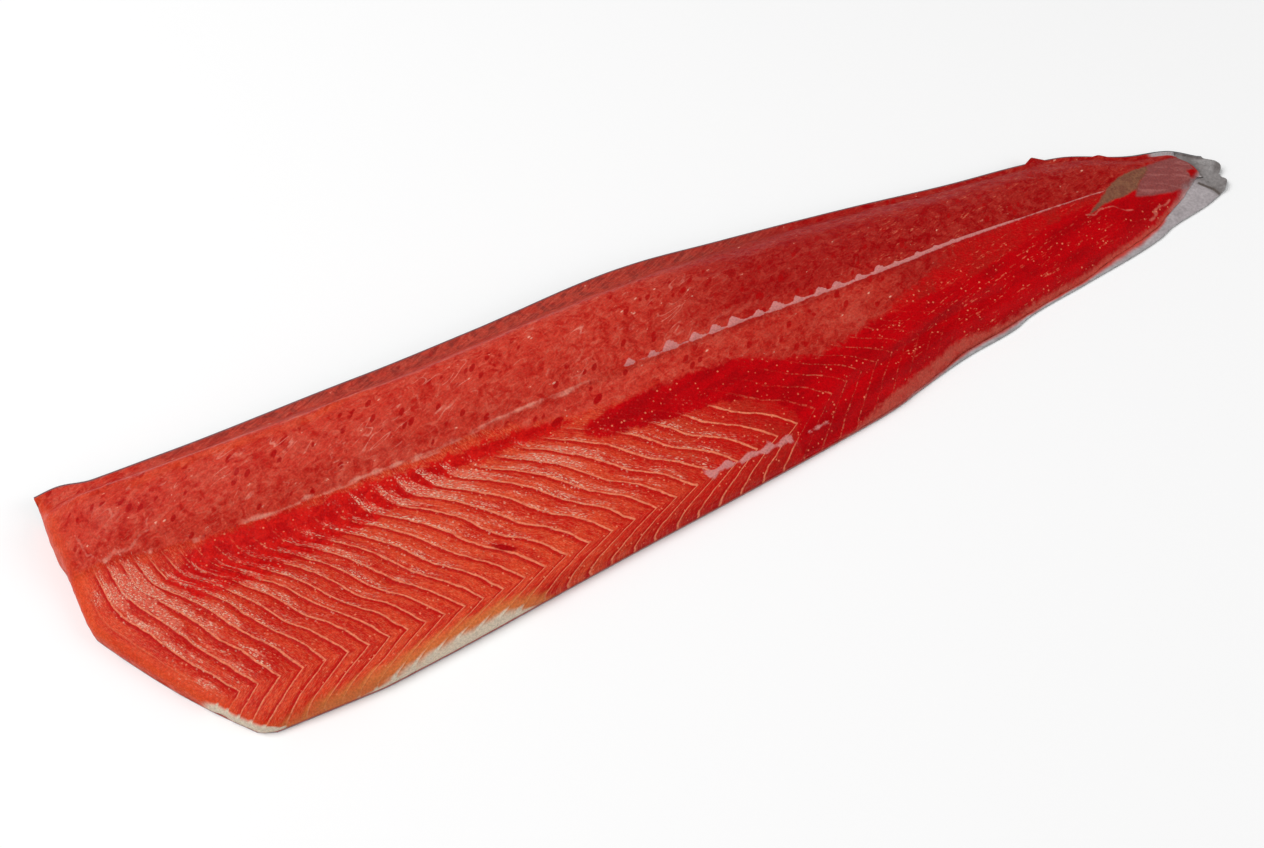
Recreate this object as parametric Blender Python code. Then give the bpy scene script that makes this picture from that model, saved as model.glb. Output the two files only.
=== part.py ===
"""A whole side of salmon with its skin on, lying skin down with the flesh up.

+X runs from the head cut to the tail, +Y to the back of the fish and +Z up. The origin is the
middle of the footprint. Sizes are in millimetres and become metres where the meshes are placed.

Two nodes: flesh, the meat with its ridged belly wall, and skin, the thin sheet below it that
rounds up over the back edge, shows as a strip at the belly edge and ends in a bare stub.
"""
import math

import bmesh
import bpy
import numpy as np

MM = 0.001

# Skin and the clearance between it and the flesh
SKIN_THICK = 1.0
CLEARANCE = 0.3
SEAT = SKIN_THICK + CLEARANCE

# Plan outline of the skin and the line of the backbone, as (x, y) stations along the side
BACK_EDGE = [(-250, 58.0), (-241, 59.2), (-228, 56.9), (-200, 57.3), (-125, 57.8), (-74, 60.3), (-10, 65.0),
             (33, 62.5), (93, 58.2), (146, 53.2), (172, 51.8), (194, 49.0), (223, 37.7), (240, 33.8), (256, 21.0)]
BELLY_EDGE = [(-250, -66.6), (-160, -66.3), (-143, -64.7), (-69, -54.8), (43, -39.9), (66, -36.1), (79, -32.4),
              (105, -25.8), (130, -21.7), (138, -18.9), (170, -13.5), (211, -5.9), (219, -2.9), (240, 1.5),
              (256, 7.0)]
BACKBONE = [(-250, 17.0), (-215, 13.0), (-182, 10.5), (-110, 10.0), (-67, 13.0), (-20, 14.0), (60, 14.0),
            (93, 15.0), (120, 17.0), (190, 19.5), (215, 20.0), (256, 13.5)]
# Width of bare skin that shows beyond the flesh at the belly edge
BARE_STRIP = [(-250, 0.0), (40, 0.3), (90, 0.9), (106, 2.4), (128, 2.4), (140, 1.3), (165, 1.4), (190, 4.0),
              (215, 5.0), (228, 7.5), (240, 12.0), (250, 14.0)]

# Head cut, as (y, x): square across the loin, then slanting to a rounded belly corner
HEAD_CUT = [(-66.8, -196.0), (-64.9, -201.9), (-61.0, -205.7), (-52.3, -213.1), (-38.0, -224.0),
            (-17.5, -237.4), (-10.3, -241.7), (-3.9, -245.1), (4.3, -246.2), (26.8, -247.4), (38.9, -249.2),
            (60.0, -249.9)]
FLESH_TIP = 247.0
FLESH_TIP_ROUND = 5.0
SKIN_TIP = 256.5
TIP_NOTCH = 2.6
NOTCH_Q = -0.05
LOWER_LOBE_BACK = 1.4

# Height of the crest of the loin, and of the skin's rim along the back edge, as (x, z)
CREST = [(-250, 20.5), (-225, 24.0), (-150, 26.0), (-40, 26.0), (60, 21.0), (140, 15.0), (200, 9.0), (235, 5.5),
         (250, 4.0)]
RIM_RISE = [(-250, 9.0), (-200, 9.0), (-120, 12.5), (0, 13.0), (40, 11.5), (93, 9.0), (146, 6.5), (194, 4.3),
            (236, 3.0), (250, 2.6)]
RIM_WIDTH = [(-250, 16.0), (0, 17.0), (140, 12.0), (200, 8.0), (250, 5.0)]
RIM_LIP = 0.8

# Cross sections: share of the crest height at q, which is -1 at the belly edge, 0 at the
# backbone and 1 at the back edge
BELLY_SECTION = [(-1, 0.29), (-0.93, 0.34), (-0.8, 0.37), (-0.45, 0.43), (-0.15, 0.53), (-0.03, 0.61),
                 (0.02, 0.69), (0.25, 0.91), (0.48, 1.0), (0.64, 0.95), (0.82, 0.74), (1, 0.5)]
TAIL_SECTION = [(-1, 0.2), (-0.85, 0.46), (-0.5, 0.72), (-0.1, 0.9), (0.1, 0.97), (0.35, 1.0), (0.6, 0.91),
                (0.82, 0.7), (1, 0.42)]
SECTION_CHANGE = (-60.0, 100.0)
HEAD_ROLL = 22.0
HEAD_ROLL_SHARE = 0.25
EDGE_ROUND = 4.5
EDGE_ROUND_SHARE = 0.45

# Muscle segments, counted from the head cut. Each crosses the belly wall as a slanting band that
# turns back at a corner near the belly edge.
SEGMENTS = 60.0
SEGMENT_X = [(0, -247.0), (10, -196.5), (23, -93.0), (28, -46.5), (46, 121.0), (60, 246.0)]
CORNER_REACH = [(0, 31.0), (4, 40.0), (10, 54.0), (16, 56.0), (23, 61.0), (30, 61.0), (36, 52.0), (50, 24.0),
                (60, 8.0)]
CORNER_Q = [(-216, -0.78), (-150, -0.83), (-100, -0.88), (-38, -0.88), (20, -0.82), (60, -0.68), (250, -0.6)]
CORNER_RETURN = [(0, 0.0), (4, 5.0), (7, 17.0), (10, 24.0), (25, 22.0), (40, 16.0), (60, 4.0)]
BAND_SLANT = [(0, 0.0), (0.18, 0.09), (0.32, 0.3), (0.46, 0.48), (0.67, 0.67), (0.8, 0.83), (1, 1.0)]
LOIN_LEAN = 6.0
HEAD_BLEND = 6.0
TAIL_BLEND = 9.0

# Relief of the bands: depth of the groove between two of them
GROOVE_DEPTH = 1.1
GROOVE_ALONG = [(-250, 0.5), (-235, 1.0), (-160, 1.0), (-110, 0.55), (-60, 0.8), (-15, 0.6), (30, 0.2),
                (250, 0.12)]
GROOVE_ACROSS = [(-1, 0.15), (-0.86, 0.45), (-0.7, 1.0), (-0.3, 1.0), (-0.12, 0.25), (0.02, 0.0), (1, 0.0)]

# Loose shreds at the back edge: place along, reach and half width
SHREDS = [(183.0, 3.6, 5.5), (211.0, 1.6, 4.0)]

# Bare stub: how far its two lobes lift off the surface
STUB_START = 248.0
STUB_LIFT = 3.2
STUB_WAVE = 15.0
STUB_CREST_Y = 19.5

# Mesh density
FINE_SEGMENTS = 28
STEPS_IN_FINE_SEGMENT = 3
STEPS_IN_PLAIN_SEGMENT = 2
BELOW_CORNER = [1.0, 0.97, 0.88, 0.7, 0.35]
CORNER_TO_BACKBONE = [1.0, 0.86, 0.72, 0.58, 0.44, 0.31, 0.18, 0.05]
LOIN_ROWS = [0.02, 0.12, 0.24, 0.36, 0.48, 0.58, 0.68, 0.78, 0.89, 1.0]
ARC_ROWS = 4
SKIN_STEP = 1.5
SKIN_FLAT_ROWS = 8
STUB_STEPS = 9


def smooth(t):
    """Smooth step from 0 to 1 over t from 0 to 1."""
    t = np.clip(t, 0.0, 1.0)
    return t * t * (3 - 2 * t)


def along(stations, x):
    """Monotone cubic curve through (x, value) stations, flat beyond its ends."""
    knots = np.array(stations, float)
    xs, ys = knots[:, 0], knots[:, 1]
    gaps = np.diff(xs)
    rise = np.diff(ys) / gaps
    slope = np.zeros(len(xs))
    for i in range(1, len(xs) - 1):
        if rise[i - 1] * rise[i] > 0:
            a, b = 2 * gaps[i] + gaps[i - 1], gaps[i] + 2 * gaps[i - 1]
            slope[i] = (a + b) / (a / rise[i - 1] + b / rise[i])
    slope[0], slope[-1] = rise[0], rise[-1]
    x = np.clip(x, xs[0], xs[-1])
    i = np.clip(np.searchsorted(xs, x, side="right") - 1, 0, len(xs) - 2)
    h = gaps[i]
    t = (x - xs[i]) / h
    return ((1 + 2 * t) * (1 - t) ** 2 * ys[i] + t * (1 - t) ** 2 * h * slope[i]
            + t * t * (3 - 2 * t) * ys[i + 1] + t * t * (t - 1) * h * slope[i + 1])


def across(x, q, back_inset=0.0, belly_inset=0.0):
    """Y of the point q at station x, with the edges drawn in by the insets."""
    middle = along(BACKBONE, x)
    back = along(BACK_EDGE, x) - back_inset
    belly = along(BELLY_EDGE, x) + belly_inset
    return np.where(q > 0, middle + q * (back - middle), middle + q * (middle - belly))


def head_cut_x(q):
    """X of the head cut at q."""
    x = np.full(np.shape(q), HEAD_CUT[-2][1])
    for _ in range(4):
        x = along(HEAD_CUT, across(x, q))
    return x


def band_shift(c, q, corner_q):
    """How far towards the tail segment line c has moved at q, seen from the backbone."""
    reach, back = along(CORNER_REACH, c), along(CORNER_RETURN, c)
    down = np.clip(q / corner_q, 0, 1)
    past = np.clip((corner_q - q) / (1 + corner_q), 0, 1)
    return np.where(q > 0, LOIN_LEAN * q * q, reach * along(BAND_SLANT, down) - back * past)


def plan(c, q, end_x, insets):
    """X and Y of segment line c at q; the first line is the head cut and the last is end_x."""
    base = along(SEGMENT_X, c)
    corner_q = along(CORNER_Q, base + along(CORNER_REACH, c))
    shift = band_shift(c, q, corner_q)
    head = 1 - smooth(c / HEAD_BLEND)
    tail = smooth((c - SEGMENTS + TAIL_BLEND) / TAIL_BLEND)
    shift = shift * (1 - head) + (head_cut_x(q) - SEGMENT_X[0][1]) * head
    shift = shift * (1 - tail) + (end_x - SEGMENT_X[-1][1]) * tail
    x = base + shift
    strip = along(BARE_STRIP, x) if insets else 0.0
    return x, across(x, q, SEAT if insets else 0.0, strip)


def corner_q_of(c):
    """Q of the corner of segment line c."""
    return along(CORNER_Q, along(SEGMENT_X, c) + along(CORNER_REACH, c))


def flesh_end(q):
    """X of the flesh's rounded end at q."""
    return FLESH_TIP - FLESH_TIP_ROUND * q * q


def skin_end(q):
    """X of the bare stub's end at q: two lobes with a notch between."""
    lobes = np.abs(np.sin(math.pi * (q - NOTCH_Q) / (1 - NOTCH_Q)))
    return SKIN_TIP - TIP_NOTCH * (1 - lobes) - LOWER_LOBE_BACK * smooth(-4 * (q - NOTCH_Q)) - 2.0 * q ** 4


def body_height(x, q):
    """Height of the flesh at x and q, before its bands and rounded edges."""
    tail = smooth((x - SECTION_CHANGE[0]) / (SECTION_CHANGE[1] - SECTION_CHANGE[0]))
    share = along(BELLY_SECTION, q) * (1 - tail) + along(TAIL_SECTION, q) * tail
    return along(CREST, x) * share


def flesh_top(c, q, groove):
    """Points on the flesh's upper face for arrays of segment line, q and share of the groove."""
    x, y = plan(c, q, flesh_end(q), True)
    z = body_height(x, q)
    rim = along(RIM_RISE, x) + RIM_LIP
    rim_share = smooth((q - 0.66) / 0.34)
    z = z * (1 - rim_share) + rim * rim_share
    from_cut = x - head_cut_x(q)
    z = z * (1 - HEAD_ROLL_SHARE * (1 - smooth(from_cut / HEAD_ROLL)))
    depth = GROOVE_DEPTH * along(GROOVE_ALONG, x) * along(GROOVE_ACROSS, q)
    z = z - depth * groove
    edge = np.minimum(y - along(BELLY_EDGE, x) - along(BARE_STRIP, x), from_cut)
    edge = np.minimum(edge, flesh_end(q) - x)
    turn = np.clip(1 - edge / EDGE_ROUND, 0, 1)
    lowered = SEAT + (z - SEAT) * (1 - (1 - EDGE_ROUND_SHARE) * (1 - np.sqrt(1 - turn * turn)))
    z = np.where(q < 0.97, lowered, z)
    for place, reach, half in SHREDS:
        y = y + reach * np.clip(1 - np.abs(x - place) / half, 0, 1) * smooth((q - 0.85) / 0.15)
    return np.stack([x, y, np.maximum(z, SEAT + 0.8)], -1)


def arc(x, turn, inset):
    """Y and Z on the rounded back edge, turn 0 to 1 from the flat to the rim, inset from the skin's face."""
    width, rise = along(RIM_WIDTH, x), along(RIM_RISE, x)
    centre = along(BACK_EDGE, x) - width
    angle = turn * math.pi / 2
    return centre + (width - inset) * np.sin(angle), inset + (rise - inset) * (1 - np.cos(angle))


def stub_lift(x, y):
    """Lift of the bare stub off the surface."""
    wave = 0.5 + 0.5 * np.cos(2 * math.pi * (y - STUB_CREST_Y) / STUB_WAVE)
    return STUB_LIFT * smooth((x - STUB_START) / (SKIN_TIP - STUB_START)) * (0.25 + 0.75 * wave)


def sheet(columns, rows):
    """A closed sheet, two grids joined at their edges, whose vertices know their column and row."""
    bm = bmesh.new()
    column = bm.verts.layers.int.new("column")
    row = bm.verts.layers.int.new("row")
    upper = bm.verts.layers.int.new("upper")
    bmesh.ops.create_grid(bm, x_segments=columns, y_segments=rows, size=0.5)
    for v in bm.verts:
        v[column] = round((v.co.x + 0.5) * columns)
        v[row] = round((v.co.y + 0.5) * rows)
    raised = bmesh.ops.extrude_face_region(bm, geom=bm.faces[:])["geom"]
    for v in raised:
        if isinstance(v, bmesh.types.BMVert):
            v[upper] = 1
            v.co.z = 1.0
    bmesh.ops.recalc_face_normals(bm, faces=bm.faces[:])
    return bm


def place(bm, low, high):
    """Moves the sheet's vertices to the arrays low and high, indexed by column and row."""
    column, row, upper = (bm.verts.layers.int[n] for n in ("column", "row", "upper"))
    for v in bm.verts:
        v.co = (high if v[upper] else low)[v[column], v[row]] * MM


def join_flat_faces(bm, height):
    """Makes one face of the level faces at a height."""
    level = [f for f in bm.faces if all(abs(v.co.z - height * MM) < 1e-7 for v in f.verts)]
    if len(level) > 1:
        bmesh.ops.dissolve_faces(bm, faces=level)


def material(name, colour, roughness):
    """A plain dielectric finish."""
    made = bpy.data.materials.new(name)
    made.use_nodes = True
    shader = made.node_tree.nodes["Principled BSDF"]
    shader.inputs["Base Color"].default_value = (*colour, 1.0)
    shader.inputs["Roughness"].default_value = roughness
    shader.inputs["Metallic"].default_value = 0.0
    return made


def finish(bm, name, finish_material, collection):
    """Turns the bmesh into a named object of the collection."""
    mesh = bpy.data.meshes.new(name)
    bm.to_mesh(mesh)
    bm.free()
    mesh.shade_smooth()
    mesh.set_sharp_from_angle(angle=math.radians(40))
    mesh.materials.append(finish_material)
    thing = bpy.data.objects.new(name, mesh)
    collection.objects.link(thing)
    return thing


def flesh_lines():
    """Segment lines of the flesh's columns, and the share of the groove depth that each takes."""
    lines, share = [], []
    for segment in range(int(SEGMENTS)):
        steps = STEPS_IN_FINE_SEGMENT if segment < FINE_SEGMENTS else STEPS_IN_PLAIN_SEGMENT
        for step in range(steps):
            lines.append(segment + step / steps)
            share.append(1.0 if step == 0 else 0.0)
    lines.append(SEGMENTS)
    share.append(0.0)
    share[0] = 0.0
    return np.array(lines), np.array(share)


def build_flesh(collection):
    """The meat: ridged top, rounded belly edge and an underside that lies in the skin."""
    lines, share = flesh_lines()
    corner = corner_q_of(lines)[:, None]
    below = corner - np.array(BELOW_CORNER)[None, :] * (1 + corner)
    inner = corner * np.array(CORNER_TO_BACKBONE)[None, :]
    loin = np.broadcast_to(np.array(LOIN_ROWS)[None, :], (len(lines), len(LOIN_ROWS)))
    q = np.concatenate([below, inner, loin], 1)
    c = np.broadcast_to(lines[:, None], q.shape)
    high = flesh_top(c, q, np.broadcast_to(share[:, None], q.shape))
    low = high.copy()
    low[:, :, 2] = SEAT
    flat_rows = q.shape[1] - ARC_ROWS - 1
    first_loin = len(BELOW_CORNER) + len(CORNER_TO_BACKBONE)
    flat_edge = arc(high[:, :, 0], 0.0, SEAT)[0]
    start = high[:, first_loin - 1, 1]
    for row in range(first_loin, q.shape[1]):
        if row <= flat_rows:
            share_out = (row - first_loin + 1) / (flat_rows - first_loin + 1)
            low[:, row, 1] = start + (flat_edge[:, row] - start) * share_out
        else:
            turn = (row - flat_rows) / ARC_ROWS
            low[:, row, 1], low[:, row, 2] = arc(high[:, row, 0], turn, SEAT)
    bm = sheet(q.shape[0] - 1, q.shape[1] - 1)
    place(bm, low, high)
    join_flat_faces(bm, SEAT)
    return finish(bm, "flesh", material("salmon flesh", (0.72, 0.09, 0.035), 0.35), collection)


def skin_points(inset, lines):
    """Grid of points on the skin's outer face, inset 0, or on its inner face."""
    shares = np.linspace(0, 1, SKIN_FLAT_ROWS + 1)
    turns = np.arange(1, ARC_ROWS + 1) / ARC_ROWS
    points = np.zeros((len(lines), len(shares) + len(turns), 3))
    for row in range(points.shape[1]):
        turn = 0.0 if row < len(shares) else turns[row - len(shares)]
        share = shares[min(row, len(shares) - 1)]
        x = along(SEGMENT_X, lines)
        for _ in range(6):
            outer = arc(x, turn, 0.0)[0]
            middle = along(BACKBONE, x)
            flat_q = (outer - middle) / (along(BACK_EDGE, x) - middle)
            q = -1 + (1 + flat_q) * share
            x, y = plan(lines, q, skin_end(q), False)
        if row < len(shares):
            z = np.full(len(lines), float(inset))
        else:
            y, z = arc(x, turn, inset)
        points[:, row] = np.stack([x, y, z + stub_lift(x, y)], -1)
    return points


def build_skin(collection):
    """The skin: flat below the flesh, rounded up at the back edge and bare at the tail stub."""
    lines = list(np.arange(0, SEGMENTS - 3, SKIN_STEP))
    lines += [SEGMENTS - 3 * (1 - step / STUB_STEPS) ** 1.7 for step in range(STUB_STEPS + 1)]
    lines = np.array(lines)
    low, high = skin_points(0.0, lines), skin_points(SKIN_THICK, lines)
    bm = sheet(low.shape[0] - 1, low.shape[1] - 1)
    place(bm, low, high)
    join_flat_faces(bm, 0.0)
    join_flat_faces(bm, SKIN_THICK)
    return finish(bm, "skin", material("salmon skin", (0.28, 0.29, 0.30), 0.4), collection)


def centre(things):
    """Moves the meshes so that the origin is the middle of the footprint, on the surface below."""
    corners = np.array([v.co for thing in things for v in thing.data.vertices])
    lowest, highest = corners.min(0), corners.max(0)
    for thing in things:
        for v in thing.data.vertices:
            v.co.x -= (lowest[0] + highest[0]) / 2
            v.co.y -= (lowest[1] + highest[1]) / 2


def main():
    """Empties the scene and builds the two nodes."""
    for thing in list(bpy.data.objects):
        bpy.data.objects.remove(thing, do_unlink=True)
    collection = bpy.data.collections.new("salmon_fillet")
    bpy.context.scene.collection.children.link(collection)
    centre([build_flesh(collection), build_skin(collection)])


main()
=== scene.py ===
"""Looks of a whole side of salmon that lies skin down on a pale table, seen from its belly side.

Tables and sizes are in millimetres, in the form's own frame: +X runs from the head cut to the
tail, +Y to the back of the fish and +Z up. They become metres where the meshes are placed.
"""
import logging
import math
from dataclasses import dataclass
from enum import Enum

import bmesh
import bpy
import numpy as np
from bpy.types import Material, Node, NodeSocket, Object
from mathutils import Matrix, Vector


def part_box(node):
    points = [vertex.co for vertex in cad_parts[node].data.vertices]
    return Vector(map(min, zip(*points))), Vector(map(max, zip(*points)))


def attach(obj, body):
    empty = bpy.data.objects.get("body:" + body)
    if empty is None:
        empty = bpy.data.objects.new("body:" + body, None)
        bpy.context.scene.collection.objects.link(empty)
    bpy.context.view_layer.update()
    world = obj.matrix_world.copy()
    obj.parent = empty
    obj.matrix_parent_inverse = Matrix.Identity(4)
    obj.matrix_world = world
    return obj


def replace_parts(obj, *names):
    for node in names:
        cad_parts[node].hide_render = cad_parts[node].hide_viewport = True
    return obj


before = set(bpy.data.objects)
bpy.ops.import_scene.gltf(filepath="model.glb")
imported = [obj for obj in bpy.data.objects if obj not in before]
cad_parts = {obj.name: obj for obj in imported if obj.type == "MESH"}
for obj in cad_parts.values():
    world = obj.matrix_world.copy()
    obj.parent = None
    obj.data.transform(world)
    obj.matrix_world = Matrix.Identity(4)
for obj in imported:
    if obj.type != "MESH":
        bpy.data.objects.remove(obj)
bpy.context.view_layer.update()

LOG = logging.getLogger("salmon_side")
MM = 0.001

Array = np.ndarray
Point = tuple[float, float]
Path = tuple[Point, ...]
Colour = tuple[float, float, float]


def smooth(t: Array | float) -> Array:
    """Smooth step from 0 to 1."""
    t = np.clip(t, 0.0, 1.0)
    return t * t * (3 - 2 * t)


def span(value: Array | float, start: Array | float, end: Array | float) -> Array:
    """Eased share of the way from a start, 0, to an end, 1."""
    return smooth((value - start) / (end - start))


def border(inside: Array, soft: float) -> Array:
    """Share from 0 to 1 across a soft border, 0.5 on the border itself."""
    return np.clip(0.5 + inside / soft, 0, 1)


def bell(away: Array, width: Array | float) -> Array:
    """Round bump, 1 where the distance is 0."""
    return np.exp(-(away / width) ** 2)


def tint(red: int, green: int, blue: int) -> Colour:
    """Linear colour of a display colour."""
    shares = (c / 255 for c in (red, green, blue))
    return tuple(c / 12.92 if c <= 0.04045 else ((c + 0.055) / 1.055) ** 2.4 for c in shares)


@dataclass(frozen=True)
class Curve:
    """A monotone cubic curve through (place, value) stations, flat beyond its ends."""

    stations: Path

    def at(self, x: Array | float) -> Array:
        """Value of the curve.

        Args:
            x: Places along the curve.

        Returns:
            One value for each place.
        """
        knots = np.array(self.stations, float)
        xs, ys = knots[:, 0], knots[:, 1]
        gaps = np.diff(xs)
        rise = np.diff(ys) / gaps
        slope = np.zeros(len(xs))
        for i in range(1, len(xs) - 1):
            if rise[i - 1] * rise[i] > 0:
                a, b = 2 * gaps[i] + gaps[i - 1], gaps[i] + 2 * gaps[i - 1]
                slope[i] = (a + b) / (a / rise[i - 1] + b / rise[i])
        slope[0], slope[-1] = rise[0], rise[-1]
        x = np.clip(x, xs[0], xs[-1])
        i = np.clip(np.searchsorted(xs, x, side="right") - 1, 0, len(xs) - 2)
        h = gaps[i]
        t = (x - xs[i]) / h
        return ((1 + 2 * t) * (1 - t) ** 2 * ys[i] + t * (1 - t) ** 2 * h * slope[i]
                + t * t * (3 - 2 * t) * ys[i + 1] + t * t * (t - 1) * h * slope[i + 1])


@dataclass(frozen=True)
class Grain:
    """Smooth random variation over the plan, the same on every run."""

    period: float
    seed: int
    stretch: float = 1.0
    turn: float = 0.0
    knots: int = 128
    start: float = 40.5

    def along(self, x: Array) -> Array:
        """Variation along the side alone."""
        return self.at(x, 0 * x)

    def at(self, x: Array, y: Array) -> Array:
        """Variation at points of the plan.

        Args:
            x: Places along the side.
            y: Places across the side.

        Returns:
            Values from -1 to 1.
        """
        table = np.random.default_rng(self.seed).uniform(-1, 1, (self.knots, self.knots))
        c, s = math.cos(math.radians(self.turn)), math.sin(math.radians(self.turn))
        u = (x * c + y * s) / (self.period * self.stretch) + self.start
        v = (y * c - x * s) / self.period + self.start
        i, j = np.floor(u).astype(int), np.floor(v).astype(int)
        fu, fv = smooth(u - i), smooth(v - j)
        i, j, i1, j1 = (place % self.knots for place in (i, j, i + 1, j + 1))
        near = table[i, j] * (1 - fu) + table[i1, j] * fu
        far = table[i, j1] * (1 - fu) + table[i1, j1] * fu
        return near * (1 - fv) + far * fv


def distance_to(x: Array, y: Array, path: Path) -> Array:
    """Distance from points of the plan to a path.

    Args:
        x: Places along the side.
        y: Places across the side.
        path: Corners of the path.

    Returns:
        One distance for each point.
    """
    nearest = np.full(np.shape(x), 1e9)
    for (x0, y0), (x1, y1) in zip(path, path[1:]):
        dx, dy = x1 - x0, y1 - y0
        t = np.clip(((x - x0) * dx + (y - y0) * dy) / (dx * dx + dy * dy), 0, 1)
        nearest = np.minimum(nearest, np.hypot(x - x0 - t * dx, y - y0 - t * dy))
    return nearest


def patch(x: Array, y: Array, outline: Path, soft: float) -> Array:
    """How far points lie inside an outline, 0.5 on the outline itself.

    Args:
        x: Places along the side.
        y: Places across the side.
        outline: Corners of the patch, in order.
        soft: Width over which the value goes from 0 to 1.

    Returns:
        Shares from 0 to 1.
    """
    inside = np.zeros(np.shape(x), bool)
    closed = (*outline, outline[0])
    for (x0, y0), (x1, y1) in zip(closed, closed[1:]):
        if y0 != y1:
            crosses = ((y0 > y) != (y1 > y)) & (x < (x1 - x0) * (y - y0) / (y1 - y0) + x0)
            inside ^= crosses
    away = distance_to(x, y, closed)
    return border(np.where(inside, away, -away), soft)


def mound(x: Array, y: Array, place: Point, reach: Point, turn: float = 0.0) -> Array:
    """A round swelling on the plan, 1 at its middle.

    Args:
        x: Places along the side.
        y: Places across the side.
        place: Middle of the swelling.
        reach: Its half length and half width.
        turn: Angle of its length, in degrees.

    Returns:
        Shares from 0 to 1.
    """
    c, s = math.cos(math.radians(turn)), math.sin(math.radians(turn))
    dx, dy = x - place[0], y - place[1]
    u, v = (dx * c + dy * s) / reach[0], (dy * c - dx * s) / reach[1]
    return np.exp(-(u * u + v * v))


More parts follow.
